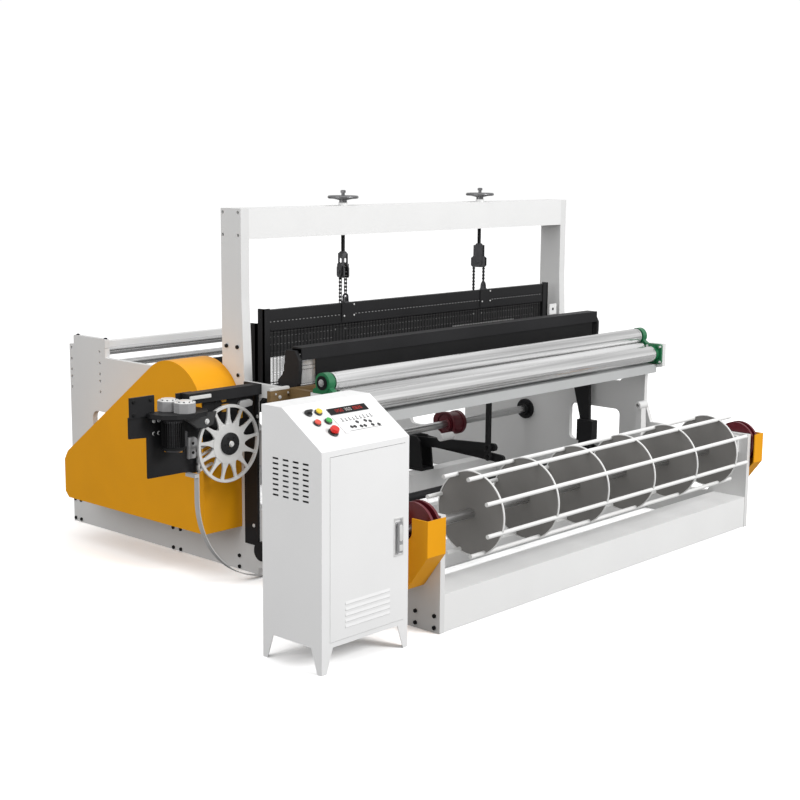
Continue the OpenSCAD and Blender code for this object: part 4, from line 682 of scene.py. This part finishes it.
# ---------------------------------------------------------------- posts, rear beam, stand and reel
s = Shape()
s.prism([(1341, 1094), (1341, 1157), (1336, 1157), (1336, 1098)], 0, 2451, 2520, 0.6)
s.block((2451, 1336.2, 1094), (2520, 1341, 1100), 0.8)
piece("post_bracket", s, "white_paint")
s = Shape()
s.button((2484, 1336, 1126), (0, -1, 0), 8, 3)
piece("post_bracket_bolt", s, "black_paint", look="deep_black")
s = Shape()
s.lathe((-8, 780, 1004), (-1, 0, 0), [(33, -1), (33, 1.5), (28, 1.5), (28, 0.4), (22, 0.4), (22, 2.5), (12, 2.5), (12, -1)], 40,
        loop=True)
piece("bearing_seal_left", s, "black_paint", look="deep_black")
s = Shape()
for y in (610, 698):
    for z in (868, 956):
        s.bolt((2556, y, z), (-1, 0, 0), 7, 9, washer=False)
piece("flange_bolts_right", s, "zinc", look="light_steel")
s = Shape()
s.block((30, 2460, 1005), (2568, 2502, 1041), 2.5)
piece("rear_cross_beam", s, "white_paint")
s = Shape()
for x in (15, 2583):
    for y in (2466, 2718):
        s.bolt((x, y, 1052), (0, 0, 1), 9, 6)
piece("rear_angle_bolts", s, "black_paint", look="deep_black")
s = Shape()
s.bar((1646, 1500, 422), (1754, 1500, 422), 22, 28, 2)
piece("white_guide_roller", s, "rod_white")
s = Shape()
for k in range(6):
    x = 260 + (2252 - 260) * k / 5
    s.lathe((x - 4, 102.5, 464), (1, 0, 0), [(192.9, 0), (193.9, 1), (193.9, 7), (192.9, 8), (189, 8), (189, 0)], 72,
            loop=True)
piece("disc_rims", s, "rod_white", "reel")

# ---------------------------------------------------------------- stage
SKY = 0.70              # strength of the soft light from all round
BACKDROP = 1.02         # how bright the bare backdrop looks
FLOOR_GAIN = 6.4        # how much brighter the floor looks than it lights the machine


def camera_switch(nodes, links, seen, other):
    """Returns a value that is one number where a surface is looked at and another where it only lights."""
    path = nodes.new("ShaderNodeLightPath")
    pick = nodes.new("ShaderNodeMapRange")
    pick.inputs["To Min"].default_value = other
    pick.inputs["To Max"].default_value = seen
    links.new(path.outputs["Is Camera Ray"], pick.inputs["Value"])
    return pick.outputs["Result"]


def make_stage():
    size = 40.0
    mesh = bpy.data.meshes.new("floor")
    mesh.from_pydata([(-size, -size, 0), (size, -size, 0), (size, size, 0), (-size, size, 0)], [], [(0, 1, 2, 3)])
    floor = bpy.data.objects.new("floor", mesh)
    bpy.context.scene.collection.objects.link(floor)
    mat = bpy.data.materials.new("floor_pale")
    mat.use_nodes = True
    nodes, links = mat.node_tree.nodes, mat.node_tree.links
    nodes.remove(nodes["Principled BSDF"])
    matt = nodes.new("ShaderNodeBsdfDiffuse")
    place = nodes.new("ShaderNodeTexCoord")
    tone, _ = mixed(nodes, links, place.outputs["Object"], (0.245, 0.245, 0.245), (0.255, 0.255, 0.255), 1.5)
    gain = nodes.new("ShaderNodeVectorMath")
    gain.operation = "SCALE"
    links.new(tone, gain.inputs[0])
    links.new(camera_switch(nodes, links, FLOOR_GAIN, 1.0), gain.inputs["Scale"])
    links.new(gain.outputs["Vector"], matt.inputs["Color"])
    links.new(matt.outputs["BSDF"], nodes["Material Output"].inputs["Surface"])
    floor.data.materials.append(mat)
    world = bpy.data.worlds.new("world")
    bpy.context.scene.world = world
    world.use_nodes = True
    nodes, links = world.node_tree.nodes, world.node_tree.links
    sky = nodes["Background"]
    sky.inputs["Color"].default_value = (1, 1, 1, 1)
    links.new(camera_switch(nodes, links, BACKDROP, SKY), sky.inputs["Strength"])


def area_light(name, place, target, size, power):
    data = bpy.data.lights.new(name, "AREA")
    data.shape = "RECTANGLE"
    data.size, data.size_y = size
    data.energy = power
    light = bpy.data.objects.new(name, data)
    light.location = place
    light.rotation_euler = (Vector(target) - Vector(place)).to_track_quat("-Z", "Y").to_euler()
    bpy.context.scene.collection.objects.link(light)


make_stage()
bpy.context.scene.view_settings.view_transform = "Standard"
area_light("key", (1.4, -8.0, 5.0), (0, 0, 0.7), (3.0, 3.0), 440)
area_light("side", (-6.5, -0.6, 3.2), (0, 0, 0.7), (3.0, 3.0), 80)
area_light("top", (-0.3, 0.0, 5.6), (0, 0, 0), (5.0, 4.0), 40)
